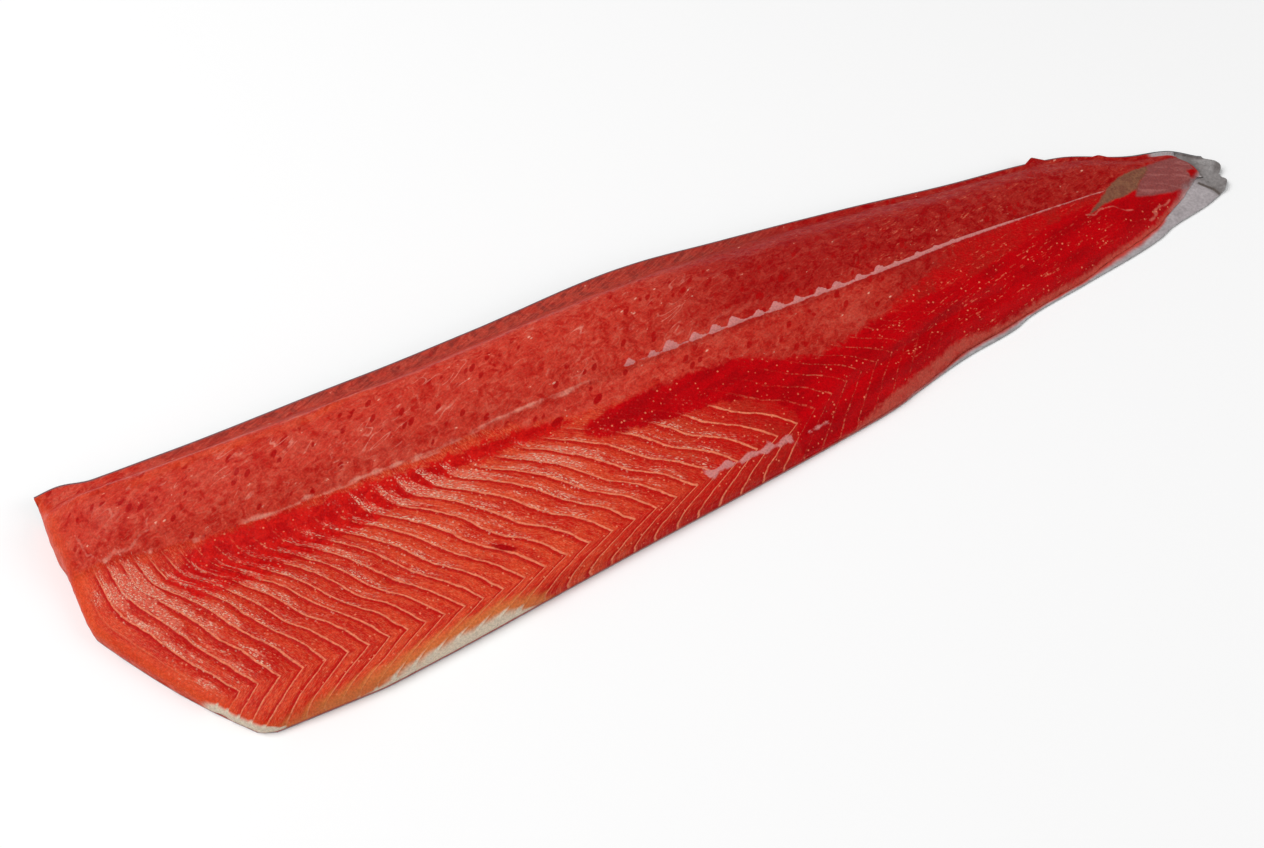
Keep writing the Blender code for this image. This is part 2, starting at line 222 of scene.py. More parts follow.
@dataclass(frozen=True)
class SideForm:
    """Shape of the side: outlines, heights and muscle segments, station by station.

    The share q across the side is -1 at the belly edge, 0 at the backbone and 1 at the back edge.
    A segment line is numbered from the head cut, 0, to the tail.
    """

    skin_thick: float = 1.0
    seat: float = 1.3
    back_edge: Curve = Curve((
        (-250, 58.0), (-241, 59.2), (-228, 56.9), (-200, 57.3), (-125, 57.8), (-74, 60.3), (-10, 65.0),
        (33, 62.5), (93, 58.2), (146, 53.2), (172, 51.8), (194, 49.0), (223, 37.7), (240, 33.8),
        (256, 21.0)))
    belly_edge: Curve = Curve((
        (-250, -66.6), (-160, -66.3), (-143, -64.7), (-69, -54.8), (43, -39.9), (66, -36.1), (79, -32.4),
        (105, -25.8), (130, -21.7), (138, -18.9), (170, -13.5), (211, -5.9), (219, -2.9), (240, 1.5),
        (256, 7.0)))
    backbone: Curve = Curve((
        (-250, 17.0), (-215, 13.0), (-182, 10.5), (-110, 10.0), (-67, 13.0), (-20, 14.0), (60, 14.0),
        (93, 15.0), (120, 17.0), (190, 19.5), (215, 20.0), (256, 13.5)))
    bare_strip: Curve = Curve((
        (-250, 0.0), (40, 0.3), (90, 0.9), (106, 2.4), (128, 2.4), (140, 1.3), (165, 1.4), (190, 4.0),
        (215, 5.0), (228, 7.5), (240, 12.0), (250, 14.0)))
    head_cut: Curve = Curve((
        (-66.8, -196.0), (-64.9, -201.9), (-61.0, -205.7), (-52.3, -213.1), (-38.0, -224.0),
        (-17.5, -237.4), (-10.3, -241.7), (-3.9, -245.1), (4.3, -246.2), (26.8, -247.4), (38.9, -249.2),
        (60.0, -249.9)))
    flesh_tip: float = 247.0
    flesh_tip_round: float = 5.0
    skin_tip: float = 256.5
    tip_notch: float = 2.6
    notch_q: float = -0.05
    lower_lobe_back: float = 1.4
    tip_round: float = 2.0
    crest: Curve = Curve((
        (-250, 20.5), (-225, 24.0), (-150, 26.0), (-40, 26.0), (60, 21.0), (140, 15.0), (200, 9.0),
        (235, 5.5), (250, 4.0)))
    rim_rise: Curve = Curve((
        (-250, 9.0), (-200, 9.0), (-120, 12.5), (0, 13.0), (40, 11.5), (93, 9.0), (146, 6.5), (194, 4.3),
        (236, 3.0), (250, 2.6)))
    rim_width: Curve = Curve(((-250, 16.0), (0, 17.0), (140, 12.0), (200, 8.0), (250, 5.0)))
    rim_lip: float = 0.8
    belly_section: Curve = Curve((
        (-1, 0.29), (-0.93, 0.34), (-0.8, 0.37), (-0.45, 0.43), (-0.15, 0.53), (-0.03, 0.61), (0.02, 0.69),
        (0.25, 0.91), (0.48, 1.0), (0.64, 0.95), (0.82, 0.74), (1, 0.5)))
    tail_section: Curve = Curve((
        (-1, 0.2), (-0.85, 0.46), (-0.5, 0.72), (-0.1, 0.9), (0.1, 0.97), (0.35, 1.0), (0.6, 0.91),
        (0.82, 0.7), (1, 0.42)))
    section_change: Point = (-60.0, 100.0)
    head_roll: float = 22.0
    head_roll_share: float = 0.25
    edge_round: float = 4.5
    edge_round_share: float = 0.45
    segments: float = 60.0
    segment_x: Curve = Curve((
        (0, -247.0), (10, -196.5), (23, -93.0), (28, -46.5), (46, 121.0), (60, 246.0)))
    corner_reach: Curve = Curve((
        (0, 31.0), (4, 40.0), (10, 54.0), (16, 56.0), (23, 61.0), (30, 61.0), (36, 52.0), (50, 24.0),
        (60, 8.0)))
    corner_q: Curve = Curve((
        (-216, -0.78), (-150, -0.83), (-100, -0.88), (-38, -0.88), (20, -0.82), (60, -0.68), (250, -0.6)))
    corner_return: Curve = Curve((
        (0, 0.0), (4, 5.0), (7, 17.0), (10, 24.0), (25, 22.0), (40, 16.0), (60, 4.0)))
    drawn_return: Curve = Curve((
        (0, 20.0), (4, 20.0), (7, 21.0), (10, 24.0), (25, 22.0), (40, 16.0), (60, 4.0)))
    band_slant: Curve = Curve((
        (0, 0.0), (0.18, 0.09), (0.32, 0.3), (0.46, 0.48), (0.67, 0.67), (0.8, 0.83), (1, 1.0)))
    loin_lean: float = 6.0
    head_blend: float = 6.0
    tail_blend: float = 9.0
    drawn_gap: float = 5.0
    drawn_search: Point = (-6.0, 14.0)
    drawn_joins: Point = (8.0, 10.0)
    groove_depth: float = 1.1
    groove_along: Curve = Curve((
        (-250, 0.5), (-235, 1.0), (-160, 1.0), (-110, 0.55), (-60, 0.8), (-15, 0.6), (30, 0.2),
        (250, 0.12)))
    groove_across: Curve = Curve((
        (-1, 0.15), (-0.86, 0.45), (-0.7, 1.0), (-0.3, 1.0), (-0.12, 0.25), (0.02, 0.0), (1, 0.0)))
    shreds: tuple[tuple[float, float, float], ...] = ((183.0, 3.6, 5.5), (211.0, 1.6, 4.0))
    stub_start: float = 248.0
    stub_raise: float = 3.2
    stub_wave: float = 15.0
    stub_crest_y: float = 19.5

    def across(self, x: Array, q: Array, back_inset: float = 0.0,
               belly_inset: Array | float = 0.0) -> Array:
        """Y of the share q at station x.

        Args:
            x: Places along the side.
            q: Shares across it.
            back_inset: How far the back edge is drawn in.
            belly_inset: How far the belly edge is drawn in.

        Returns:
            Places across the side.
        """
        middle = self.backbone.at(x)
        back = self.back_edge.at(x) - back_inset
        belly = self.belly_edge.at(x) + belly_inset
        return np.where(q > 0, middle + q * (back - middle), middle + q * (middle - belly))

    def head_cut_x(self, q: Array) -> Array:
        """X of the head cut.

        Args:
            q: Shares across the side.

        Returns:
            Places along the side.
        """
        x = np.full(np.shape(q), self.head_cut.stations[-2][1])
        for _ in range(4):
            x = self.head_cut.at(self.across(x, q))
        return x

    def corner_q_of(self, c: Array) -> Array:
        """Share at which segment line c turns back."""
        return self.corner_q.at(self.segment_x.at(c) + self.corner_reach.at(c))

    def band_shift(self, c: Array, q: Array, corner_q: Array) -> Array:
        """How far towards the tail a segment line has moved, seen from the backbone.

        Args:
            c: Segment lines.
            q: Shares across the side.
            corner_q: Share at which each line turns back.

        Returns:
            Distances along the side.
        """
        reach, back = self.corner_reach.at(c), self.corner_return.at(c)
        down = np.clip(q / corner_q, 0, 1)
        past = np.clip((corner_q - q) / (1 + corner_q), 0, 1)
        return np.where(q > 0, self.loin_lean * q * q, reach * self.band_slant.at(down) - back * past)

    def plan(self, c: Array, q: Array, end_x: Array, insets: bool) -> tuple[Array, Array]:
        """X and Y on a segment line; the first line is the head cut and the last is end_x.

        Args:
            c: Segment lines.
            q: Shares across the side.
            end_x: Where the last line lies.
            insets: Whether the edges are the meat's and not the skin's.

        Returns:
            Places along and across the side.
        """
        base = self.segment_x.at(c)
        corner_q = self.corner_q.at(base + self.corner_reach.at(c))
        shift = self.band_shift(c, q, corner_q)
        head = 1 - smooth(c / self.head_blend)
        tail = smooth((c - self.segments + self.tail_blend) / self.tail_blend)
        shift = shift * (1 - head) + (self.head_cut_x(q) - self.segment_x.stations[0][1]) * head
        shift = shift * (1 - tail) + (end_x - self.segment_x.stations[-1][1]) * tail
        x = base + shift
        strip = self.bare_strip.at(x) if insets else 0.0
        return x, self.across(x, q, self.seat if insets else 0.0, strip)

    def drawn_line_x(self, c: Array, q: Array) -> Array:
        """X of a segment line as it is drawn on the meat, nested round the belly corner of the head.

        Args:
            c: Segment lines.
            q: Shares across the side.

        Returns:
            Places along the side.
        """
        base = self.segment_x.at(c) + self.drawn_gap * np.minimum(c, 0)
        corner_q = self.corner_q.at(base + self.corner_reach.at(c))
        down = np.clip(q / corner_q, 0, 1)
        past = np.clip((corner_q - q) / (1 + corner_q), 0, 1)
        upper = np.where(q > 0, self.loin_lean * q * q, self.corner_reach.at(c) * self.band_slant.at(down))
        head = 1 - smooth(c / self.head_blend)
        cut = self.head_cut_x(np.maximum(q, corner_q)) - self.segment_x.stations[0][1]
        return base + upper * (1 - head) + cut * head - self.drawn_return.at(c) * past

    def drawn_segment(self, c: Array, x: Array, q: Array) -> Array:
        """Segment number as it is drawn at points of the grid.

        Args:
            c: Segment lines of the grid, which differ from the drawn ones near the belly corner only.
            x: Places along the side.
            q: Shares across it.

        Returns:
            Segment numbers.
        """
        low, high = (np.full(x.shape, limit) for limit in self.drawn_search)
        for _ in range(18):
            middle = (low + high) / 2
            below = self.drawn_line_x(middle, q) < x
            low, high = np.where(below, middle, low), np.where(below, high, middle)
        plain = span(c, *self.drawn_joins)
        return np.where(plain < 1, (low + high) / 2 * (1 - plain) + c * plain, c)

    def flesh_end(self, q: Array) -> Array:
        """X of the meat's rounded end at q."""
        return self.flesh_tip - self.flesh_tip_round * q * q

    def skin_end(self, q: Array) -> Array:
        """X of the bare stub's end: two lobes with a notch between.

        Args:
            q: Shares across the side.

        Returns:
            Places along the side.
        """
        lobes = np.abs(np.sin(math.pi * (q - self.notch_q) / (1 - self.notch_q)))
        lower = self.lower_lobe_back * smooth(-4 * (q - self.notch_q))
        return self.skin_tip - self.tip_notch * (1 - lobes) - lower - self.tip_round * q ** 4

    def body_height(self, x: Array, q: Array) -> Array:
        """Height of the meat before its bands and rounded edges."""
        tail = span(x, *self.section_change)
        return self.crest.at(x) * (self.belly_section.at(q) * (1 - tail) + self.tail_section.at(q) * tail)

    def edge_gap(self, x: Array, y: Array, q: Array) -> Array:
        """Distance to the nearest cut edge of the meat: belly edge, head cut or tail end."""
        belly = y - self.belly_edge.at(x) - self.bare_strip.at(x)
        return np.minimum(np.minimum(belly, x - self.head_cut_x(q)), self.flesh_end(q) - x)

    def arc(self, x: Array, turn: Array | float, inset: float) -> tuple[Array, Array]:
        """Y and Z on the rounded back edge.

        Args:
            x: Places along the side.
            turn: From 0 at the flat to 1 at the rim.
            inset: Depth below the skin's outer face.

        Returns:
            Places across the side and heights.
        """
        width, rise = self.rim_width.at(x), self.rim_rise.at(x)
        centre = self.back_edge.at(x) - width
        angle = turn * math.pi / 2
        return (centre + (width - inset) * np.sin(angle), inset + (rise - inset) * (1 - np.cos(angle)))

    def stub_lift(self, x: Array, y: Array) -> Array:
        """Lift of the bare stub off the table.

        Args:
            x: Places along the side.
            y: Places across it.

        Returns:
            Heights.
        """
        wave = 0.5 + 0.5 * np.cos(2 * math.pi * (y - self.stub_crest_y) / self.stub_wave)
        rise = span(x, self.stub_start, self.skin_tip)
        return self.stub_raise * rise * (0.25 + 0.75 * wave)


FORM = SideForm()


class Texture(Enum):
    """Kinds of pattern that a finish is mixed from."""

    NOISE = "NOISE"
    CELLS = "F1"
    SEAMS = "DISTANCE_TO_EDGE"


class Sum(Enum):
    """Kinds of sum that a finish is worked out with."""

    ABSOLUTE = "ABSOLUTE"
    ADD = "ADD"
    FRACT = "FRACT"
    MAXIMUM = "MAXIMUM"
    MINIMUM = "MINIMUM"
    MULTIPLY = "MULTIPLY"
    MULTIPLY_ADD = "MULTIPLY_ADD"
    PINGPONG = "PINGPONG"
    POWER = "POWER"
    SUBTRACT = "SUBTRACT"


Value = NodeSocket | float


class Tree:
    """One node material, built step by step; every length in it is in millimetres."""

    def __init__(self, name: str) -> None:
        """Starts the material with its shader.

        Args:
            name: Name of the finish.
        """
        self.material: Material = bpy.data.materials.new(name)
        self.material.use_nodes = True
        self.nodes = self.material.node_tree.nodes
        self.links = self.material.node_tree.links
        self.shader: Node = self.nodes["Principled BSDF"]
        self.coords = self.put("ShaderNodeTexCoord").outputs["Object"]
        self.plain = self.place()

    def put(self, kind: str, feeds: dict | None = None, **settings: object) -> Node:
        """Adds a node.

        Args:
            kind: Type of the node.
            feeds: Values or sockets by input name or number.
            **settings: Properties of the node.

        Returns:
            The node.
        """
        made = self.nodes.new(kind)
        for name, value in settings.items():
            setattr(made, name, value)
        for key, value in (feeds or {}).items():
            self.feed(made.inputs[key], value)
        return made

    def feed(self, socket: NodeSocket, value: object) -> None:
        """Links a socket to an input, or writes a value on it.

        Args:
            socket: The input.
            value: An output socket, a number or a colour.
        """
        if isinstance(value, NodeSocket):
            self.links.new(value, socket)
        elif isinstance(value, tuple) and len(value) == 3 and socket.type == "RGBA":
            socket.default_value = (*value, 1.0)
        else:
            socket.default_value = value

    def place(self, stretch: tuple[float, float, float] = (1, 1, 1), turn: float = 0.0) -> NodeSocket:
        """Object coordinates in millimetres, turned and then stretched.

        Args:
            stretch: How much longer the pattern is along each axis.
            turn: Angle of the pattern's length in the plan, in degrees.

        Returns:
            The coordinates.
        """
        turned = self.put("ShaderNodeVectorRotate", {"Vector": self.coords, "Angle": -math.radians(turn)},
                          rotation_type="Z_AXIS").outputs[0]
        scale = tuple(1 / (MM * s) for s in stretch)
        return self.put("ShaderNodeVectorMath", {0: turned, 1: scale}, operation="MULTIPLY").outputs[0]

    def stretched(self, coords: NodeSocket, stretch: tuple[float, float, float]) -> NodeSocket:
        """Coordinates with a pattern made longer along each axis."""
        return self.put("ShaderNodeVectorMath", {0: coords, 1: tuple(1 / s for s in stretch)},
                        operation="MULTIPLY").outputs[0]

    def value(self, name: str) -> NodeSocket:
        """A number that the mesh carries at each point."""
        return self.put("ShaderNodeAttribute", attribute_name=name).outputs["Fac"]

    def vector(self, name: str) -> NodeSocket:
        """A vector that the mesh carries at each point."""
        return self.put("ShaderNodeAttribute", attribute_name=name).outputs["Vector"]

    def math(self, way: Sum, a: Value, b: Value = 0.0, c: Value = 0.0) -> NodeSocket:
        """A sum."""
        return self.put("ShaderNodeMath", {0: a, 1: b, 2: c}, operation=way.value).outputs[0]

    def scaled(self, value: Value, factor: Value, added: Value) -> NodeSocket:
        """A number times a factor, plus another number."""
        return self.math(Sum.MULTIPLY_ADD, value, factor, added)

    def frayed(self, value: Value, fray: Value, spread: float) -> NodeSocket:
        """A number that a pattern from 0 to 1 makes wander up and down."""
        return self.scaled(self.math(Sum.SUBTRACT, fray, 0.5), spread, value)

    def times(self, *shares: Value) -> NodeSocket:
        """Product of several numbers.

        Args:
            *shares: The numbers.

        Returns:
            Their product.
        """
        product = shares[0]
        for share in shares[1:]:
            product = self.math(Sum.MULTIPLY, product, share)
        return product

    def ramp(self, value: Value, low: float, high: float, low_to: float = 0.0,
             high_to: float = 1.0) -> NodeSocket:
        """Smooth step of a number."""
        return self.put("ShaderNodeMapRange", {0: value, 1: low, 2: high, 3: low_to, 4: high_to},
                        interpolation_type="SMOOTHSTEP").outputs[0]

    def noise(self, coords: NodeSocket, period: float, detail: float = 3.0, rough: float = 0.55,
              warp: float = 0.0) -> NodeSocket:
        """Cloudy pattern from 0 to 1.

        Args:
            coords: Coordinates in millimetres.
            period: Size of its clouds.
            detail: Number of finer layers.
            rough: Strength of the finer layers.
            warp: How much the pattern is warped.

        Returns:
            The pattern.
        """
        feeds = {"Vector": coords, "Scale": 1 / period, "Detail": detail, "Roughness": rough,
                 "Distortion": warp}
        return self.put("ShaderNodeTexNoise", feeds, noise_dimensions="3D").outputs[0]

    def cells(self, coords: NodeSocket, period: float, texture: Texture = Texture.CELLS) -> NodeSocket:
        """Distance to the nearest of many scattered points or to the seams between them, in cell sizes."""
        feeds = {"Vector": coords, "Scale": 1 / period, "Randomness": 1.0}
        return self.put("ShaderNodeTexVoronoi", feeds, feature=texture.value).outputs["Distance"]

    def mix(self, share: Value, first: object, second: object) -> NodeSocket:
        """Mixes two colours by the share of the second."""
        return self.put("ShaderNodeMix", {0: share, 6: first, 7: second}, data_type="RGBA").outputs[2]

    def coats(self, base: object, *layers: tuple[Value, object]) -> NodeSocket:
        """Lays colours over each other.

        Args:
            base: The lowest colour.
            *layers: Share and colour of each coat, from the lowest up.

        Returns:
            The colour.
        """
        for share, colour in layers:
            base = self.mix(share, base, colour)
        return base

    def shade(self, colour: object, value: Value) -> NodeSocket:
        """Makes a colour lighter or darker."""
        return self.put("ShaderNodeVectorMath", {0: colour, "Scale": value}, operation="SCALE").outputs[0]

    def bump(self, height: Value, depth: float, strength: float = 1.0) -> NodeSocket:
        """Fine relief."""
        feeds = {"Height": height, "Distance": depth * MM, "Strength": strength}
        return self.put("ShaderNodeBump", feeds).outputs["Normal"]

    def settle(self, **values: object) -> None:
        """Writes plain values on the shader, under the names of its inputs with _ for a space."""
        for name, value in values.items():
            self.feed(self.shader.inputs[name.replace("_", " ")], value)

    def finish(self, colour: object, rough: Value, normal: NodeSocket) -> Material:
        """Feeds the shader.

        Args:
            colour: Base colour.
            rough: Roughness.
            normal: Fine relief.

        Returns:
            The material.
        """
        self.feed(self.shader.inputs["Base Color"], colour)
        self.feed(self.shader.inputs["Roughness"], rough)
        self.feed(self.shader.inputs["Normal"], normal)
        return self.material


@dataclass(frozen=True)
class Marks:
    """Scattered marks: size, stretch and turn of their pattern, and the step that cuts them out of it.

    A step that falls, from a higher number to a lower, keeps what lies below it.
    """

    period: float
    start: float
    end: float
    stretch: tuple[float, float, float] = (1.0, 1.0, 1.0)
    turn: float = 0.0
    texture: Texture = Texture.NOISE
    detail: float = 3.0
    rough: float = 0.55
    warp: float = 0.0

    def on(self, t: Tree, flow: NodeSocket | None = None) -> NodeSocket:
        """Share of the marks.

        Args:
            t: The material.
            flow: Coordinates that the marks follow in place of the piece's own.

        Returns:
            The share.
        """
        coords = t.place(self.stretch, self.turn) if flow is None else t.stretched(flow, self.stretch)
        if self.texture is Texture.NOISE:
            pattern = t.noise(coords, self.period, self.detail, self.rough, self.warp)
        else:
            pattern = t.cells(coords, self.period, self.texture)
        return t.ramp(pattern, self.start, self.end)


@dataclass(frozen=True)
class Patterns:
    """Soft random patterns that the coats of a finish share."""

    warp: NodeSocket
    fine: NodeSocket
    tiny: NodeSocket
    cloud: NodeSocket
    mottle: NodeSocket


@dataclass(frozen=True)
class Bands:
    """Patterns of the muscle bands: where they run, and their lines and furrows."""

    flow: NodeSocket
    phase: NodeSocket
    drawn: NodeSocket
    line: NodeSocket
    furrow: NodeSocket


@dataclass(frozen=True)
class MeatFinish:
    """Wet raw meat: banded belly wall, milky loin whose pale clouds are partly painted sheen, and deep red
    lateral muscle.
    """

    ridge: Colour = tint(214, 68, 38)
    ridge_deep: Colour = tint(196, 34, 20)
    ridge_tail: Colour = tint(172, 15, 14)
    # groove: deep red, laid in the band furrows partly as painted shade and also used for dark weave and
    # the head's red.
    groove: Colour = tint(184, 8, 9)
    line: Colour = tint(234, 130, 96)
    crimson: Colour = tint(188, 1, 9)
    head_red: Colour = tint(206, 22, 16)
    crimson_deep: Colour = tint(166, 1, 8)
    loin: Colour = tint(203, 62, 46)
    loin_red: Colour = tint(182, 30, 22)
    loin_pale: Colour = tint(212, 98, 78)
    loin_tail: Colour = tint(166, 32, 26)
    loin_tail_pale: Colour = tint(182, 62, 50)
    loin_tail_red: Colour = tint(154, 4, 8)
    blood: Colour = tint(168, 6, 8)
    # Colours of painted highlights: sheen is the white of painted glints, also used for the loin's pale
    # flecks; gloss is the pink of painted sheen patches.
    sheen: Colour = tint(250, 194, 168)
    gloss: Colour = tint(224, 112, 90)
    orange: Colour = tint(220, 80, 42)
    fat: Colour = tint(223, 205, 183)
    fat_orange: Colour = tint(214, 122, 66)
    # Back rim colours: partly the flesh's own darker tone, partly painted shade of the sloping strip.
    rim: Colour = tint(136, 52, 44)
    rim_pale: Colour = tint(174, 74, 61)
    rosy: Colour = tint(194, 80, 66)
    scallop: Colour = tint(206, 132, 128)
    bone_line: Colour = tint(234, 150, 130)
    tan: Colour = tint(134, 88, 66)
    tan_dark: Colour = tint(122, 74, 58)
    film: Colour = tint(140, 72, 70)
    film_pale: Colour = tint(160, 94, 90)
    silver: Colour = tint(168, 160, 161)
    blobs: Marks = Marks(3.6, 0.57, 0.61, (1.7, 1.0, 1.0), 38.0, warp=0.9)
    specks: Marks = Marks(4.2, 0.26, 0.19, (2.2, 1.0, 1.0), 48.0, Texture.CELLS)
    flecks: Marks = Marks(3.4, 0.17, 0.08, (1.8, 0.8, 1.0), 20.0, Texture.CELLS)
    streaks: Marks = Marks(6.0, 0.36, 0.62, (4.0, 1.0, 1.0), 12.0)
    dots: Marks = Marks(1.3, 0.48, 0.6, detail=1.0)
    pale_specks: Marks = Marks(2.4, 0.21, 0.11, texture=Texture.CELLS)
    fibres: Marks = Marks(1.8, 0.55, 0.64, (7.0, 0.6, 1.0), 15.0, detail=2.0, rough=0.5, warp=0.3)
    grit: Marks = Marks(1.1, 0.5, 0.26, (2.4, 0.7, 1.0), 15.0, Texture.CELLS)
    hatch: Marks = Marks(1.6, 0.44, 0.62, (6.0, 0.6, 1.0), 28.0, rough=0.6, warp=0.3)
    folds: Marks = Marks(2.4, 0.46, 0.68, (4.0, 0.8, 1.0), -20.0)
    # Scattered dots of painted glint.
    glint_dots: Marks = Marks(1.5, 0.34, 0.2, texture=Texture.CELLS)
    seams: Marks = Marks(1.3, 0.03, 0.2, (0.9, 1.1, 1.0), texture=Texture.SEAMS)
    pearls: Marks = Marks(1.05, 0.42, 0.18, (0.9, 1.1, 1.0), texture=Texture.CELLS)
    seed: Marks = Marks(0.85, 0.52, 0.26, (0.8, 1.2, 1.0), texture=Texture.CELLS)
    runs: Marks = Marks(4.0, 0.45, 0.58, (0.9, 5.0, 1.0), rough=0.6)
    wetness: float = 0.04
    depth: float = 0.08
    depth_reach: float = 1.5
    depth_colour: Colour = (1.0, 0.25, 0.12)
    relief_depth: float = 0.5
    relief_strength: float = 0.8

    def area(self, t: Tree, name: str, spread: float, soft: float, fray: NodeSocket) -> NodeSocket:
        """Share of the area that the mesh carries, with a border of a half width frayed by a pattern."""
        frayed = t.ramp(t.frayed(t.value(name), fray, spread), 0.5 - soft, 0.5 + soft)
        return t.times(frayed, t.ramp(t.value(name), 0.0, 0.2))

    def threads(self, t: Tree, coords: NodeSocket, period: float, width: float, warp: float) -> NodeSocket:
        """Share of thin wandering threads, a period apart and a share of it wide."""
        away = t.math(Sum.ABSOLUTE, t.math(Sum.SUBTRACT, t.noise(coords, period, 1.0, 0.4, warp), 0.5))
        return t.ramp(away, width, width * 0.3)

    def bands(self, t: Tree, p: Patterns) -> Bands:
        """Patterns of the muscle bands.

        Args:
            t: The material.
            p: Its soft patterns.

        Returns:
            The bands' patterns.
        """
        band = t.frayed(t.frayed(t.value("segment"), p.warp, 0.3), p.fine, 0.06)
        phase = t.math(Sum.FRACT, band)
        line = t.ramp(t.math(Sum.PINGPONG, band, 0.5), 0.075, 0.028)
        return Bands(flow=t.vector("flow"), phase=phase, drawn=t.ramp(t.value("line"), 0.0, 0.7),
                     line=t.times(line, t.ramp(p.fine, 0.3, 0.55, 0.5, 1.0)),
                     furrow=t.ramp(phase, 0.66, 0.86))

    def belly(self, t: Tree, p: Patterns, b: Bands) -> NodeSocket:
        """Colour of the banded belly wall, without its lines.

        Args:
            t: The material.
            p: Its soft patterns.
            b: Its bands.

        Returns:
            The colour.
        """
        tail = t.value("tail")
        drift = t.noise(t.stretched(b.flow, (0.8, 3.0, 1.0)), 7.0, 4.0, 0.6)
        weave = t.noise(t.stretched(b.flow, (0.4, 1.8, 1.0)), 1.1, 3.0, 0.7)
        return t.coats(
            t.mix(t.ramp(t.scaled(p.cloud, 0.5, drift), 0.62, 0.84), self.ridge_deep, self.ridge),
            (t.value("ruddy"), t.mix(t.ramp(drift, 0.42, 0.6), self.groove, self.ridge_deep)),
            (tail, t.mix(t.ramp(p.cloud, 0.38, 0.6), self.crimson, self.ridge_tail)),
            (t.times(t.ramp(weave, 0.46, 0.72), t.scaled(tail, -0.45, 0.55)), self.line),
            (t.times(t.ramp(weave, 0.52, 0.28), 0.7), self.groove),
            # Painted shade: each band's furrow, the shadow side of its step, is coloured deep red, partly
            # the tissue's own deeper red.
            (t.times(b.furrow, b.drawn, t.scaled(tail, -0.4, 0.85)), self.groove))

    def milky_sheen(self, t: Tree, p: Patterns) -> NodeSocket:
        """Colour of the loin: milky clouds, partly its own pale tone and partly painted sheen, with blood
        specks, pale fibres and wisps.

        Args:
            t: The material.
            p: Its soft patterns.

        Returns:
            The colour.
        """
        tail = t.math(Sum.POWER, t.value("tail"), 2.5)
        red = t.mix(tail, self.loin_red, self.loin_tail_red)
        pale = t.mix(tail, self.loin_pale, self.loin_tail_pale)
        veins = t.noise(t.place((2.6, 0.8, 1.0), 18.0), 1.5, 4.0, 0.65, 0.8)
        strands = self.threads(t, t.place((3.2, 1.0, 1.0), 24.0), 4.2, 0.05, 0.8)
        wisps = t.times(self.threads(t, t.place((4.2, 1.0, 1.0), 28.0), 5.0, 0.03, 0.9),
                        t.ramp(p.cloud, 0.48, 0.58), t.ramp(p.warp, 0.4, 0.55))
        return t.coats(
            t.mix(t.ramp(p.mottle, 0.34, 0.56), red, t.mix(tail, self.loin, self.loin_tail)),
            (t.times(t.ramp(veins, 0.5, 0.68), 0.42), pale),
            (t.times(t.ramp(veins, 0.46, 0.3), 0.55), red),
            (t.times(t.ramp(p.cloud, 0.5, 0.7), 0.3), pale),
            (t.times(self.blobs.on(t), t.ramp(tail, 0.0, 1.0, 0.25, 0.85)), red),
            (t.times(strands, t.ramp(p.mottle, 0.46, 0.6), 0.5), pale),
            (t.times(self.specks.on(t), t.ramp(p.warp, 0.44, 0.5), 0.85), self.blood),
            (t.times(self.flecks.on(t), t.ramp(p.mottle, 0.54, 0.6), 0.6), self.sheen),
            (t.times(wisps, t.value("wisp"), 0.5), self.bone_line))

    def muscle(self, t: Tree, p: Patterns, b: Bands) -> NodeSocket:
        """Colour of the bare meat: belly wall, loin and deep red muscle, with lines and specks.

        Args:
            t: The material.
            p: Its soft patterns.
            b: Its bands.

        Returns:
            The colour.
        """
        milky_sheen = self.milky_sheen(t, p)
        crimson = self.area(t, "crimson", 0.9, 0.1, p.mottle)
        deep = t.mix(t.ramp(t.value("tail"), 0.0, 0.3),
                     t.mix(t.ramp(p.mottle, 0.4, 0.6), self.groove, self.head_red),
                     t.mix(self.streaks.on(t), self.crimson_deep, self.crimson))
        dotted = t.math(Sum.SUBTRACT, 1.0, t.times(crimson, t.scaled(self.dots.on(t), -0.55, 0.95)))
        specks = t.times(self.pale_specks.on(t), t.ramp(p.mottle, 0.46, 0.56))
        fibres = t.times(self.fibres.on(t), self.grit.on(t), t.ramp(p.mottle, 0.42, 0.56))
        return t.coats(
            self.belly(t, p, b),
            (self.area(t, "loin", 0.6, 0.2, p.warp), milky_sheen),
            (crimson, deep),
            (t.times(b.line, t.value("line"), dotted), self.line),
            (t.times(specks, t.value("specks")), self.line),
            (t.times(fibres, t.value("fibres"), 0.5), self.line),
            (self.area(t, "mottle", 0.9, 0.16, p.mottle), milky_sheen),
            (t.times(self.area(t, "orange", 0.5, 0.35, p.warp), 0.6), self.orange))

    def glints(self, t: Tree, b: Bands) -> tuple[NodeSocket, NodeSocket]:
        """Painted highlights on the wet, grainy bands: patches of painted pink sheen with painted white
        glints.

        Args:
            t: The material.
            b: Its bands.

        Returns:
            Share of the painted pink sheen and share of the painted white glints on it.
        """
        # grain is the mesh's mask of where painted glints and sheen go.
        grain = t.value("grain")
        some = t.math(Sum.MINIMUM, grain, 1.0)
        lit = t.times(t.ramp(b.phase, 0.0, 0.07), t.ramp(b.phase, 0.68, 0.36))
        islands = t.noise(t.stretched(b.flow, (0.5, 2.4, 1.0)), 4.5, 4.0, 0.65)
        score = t.math(Sum.ADD, t.scaled(grain, 0.34, islands), t.times(lit, some, 0.2))
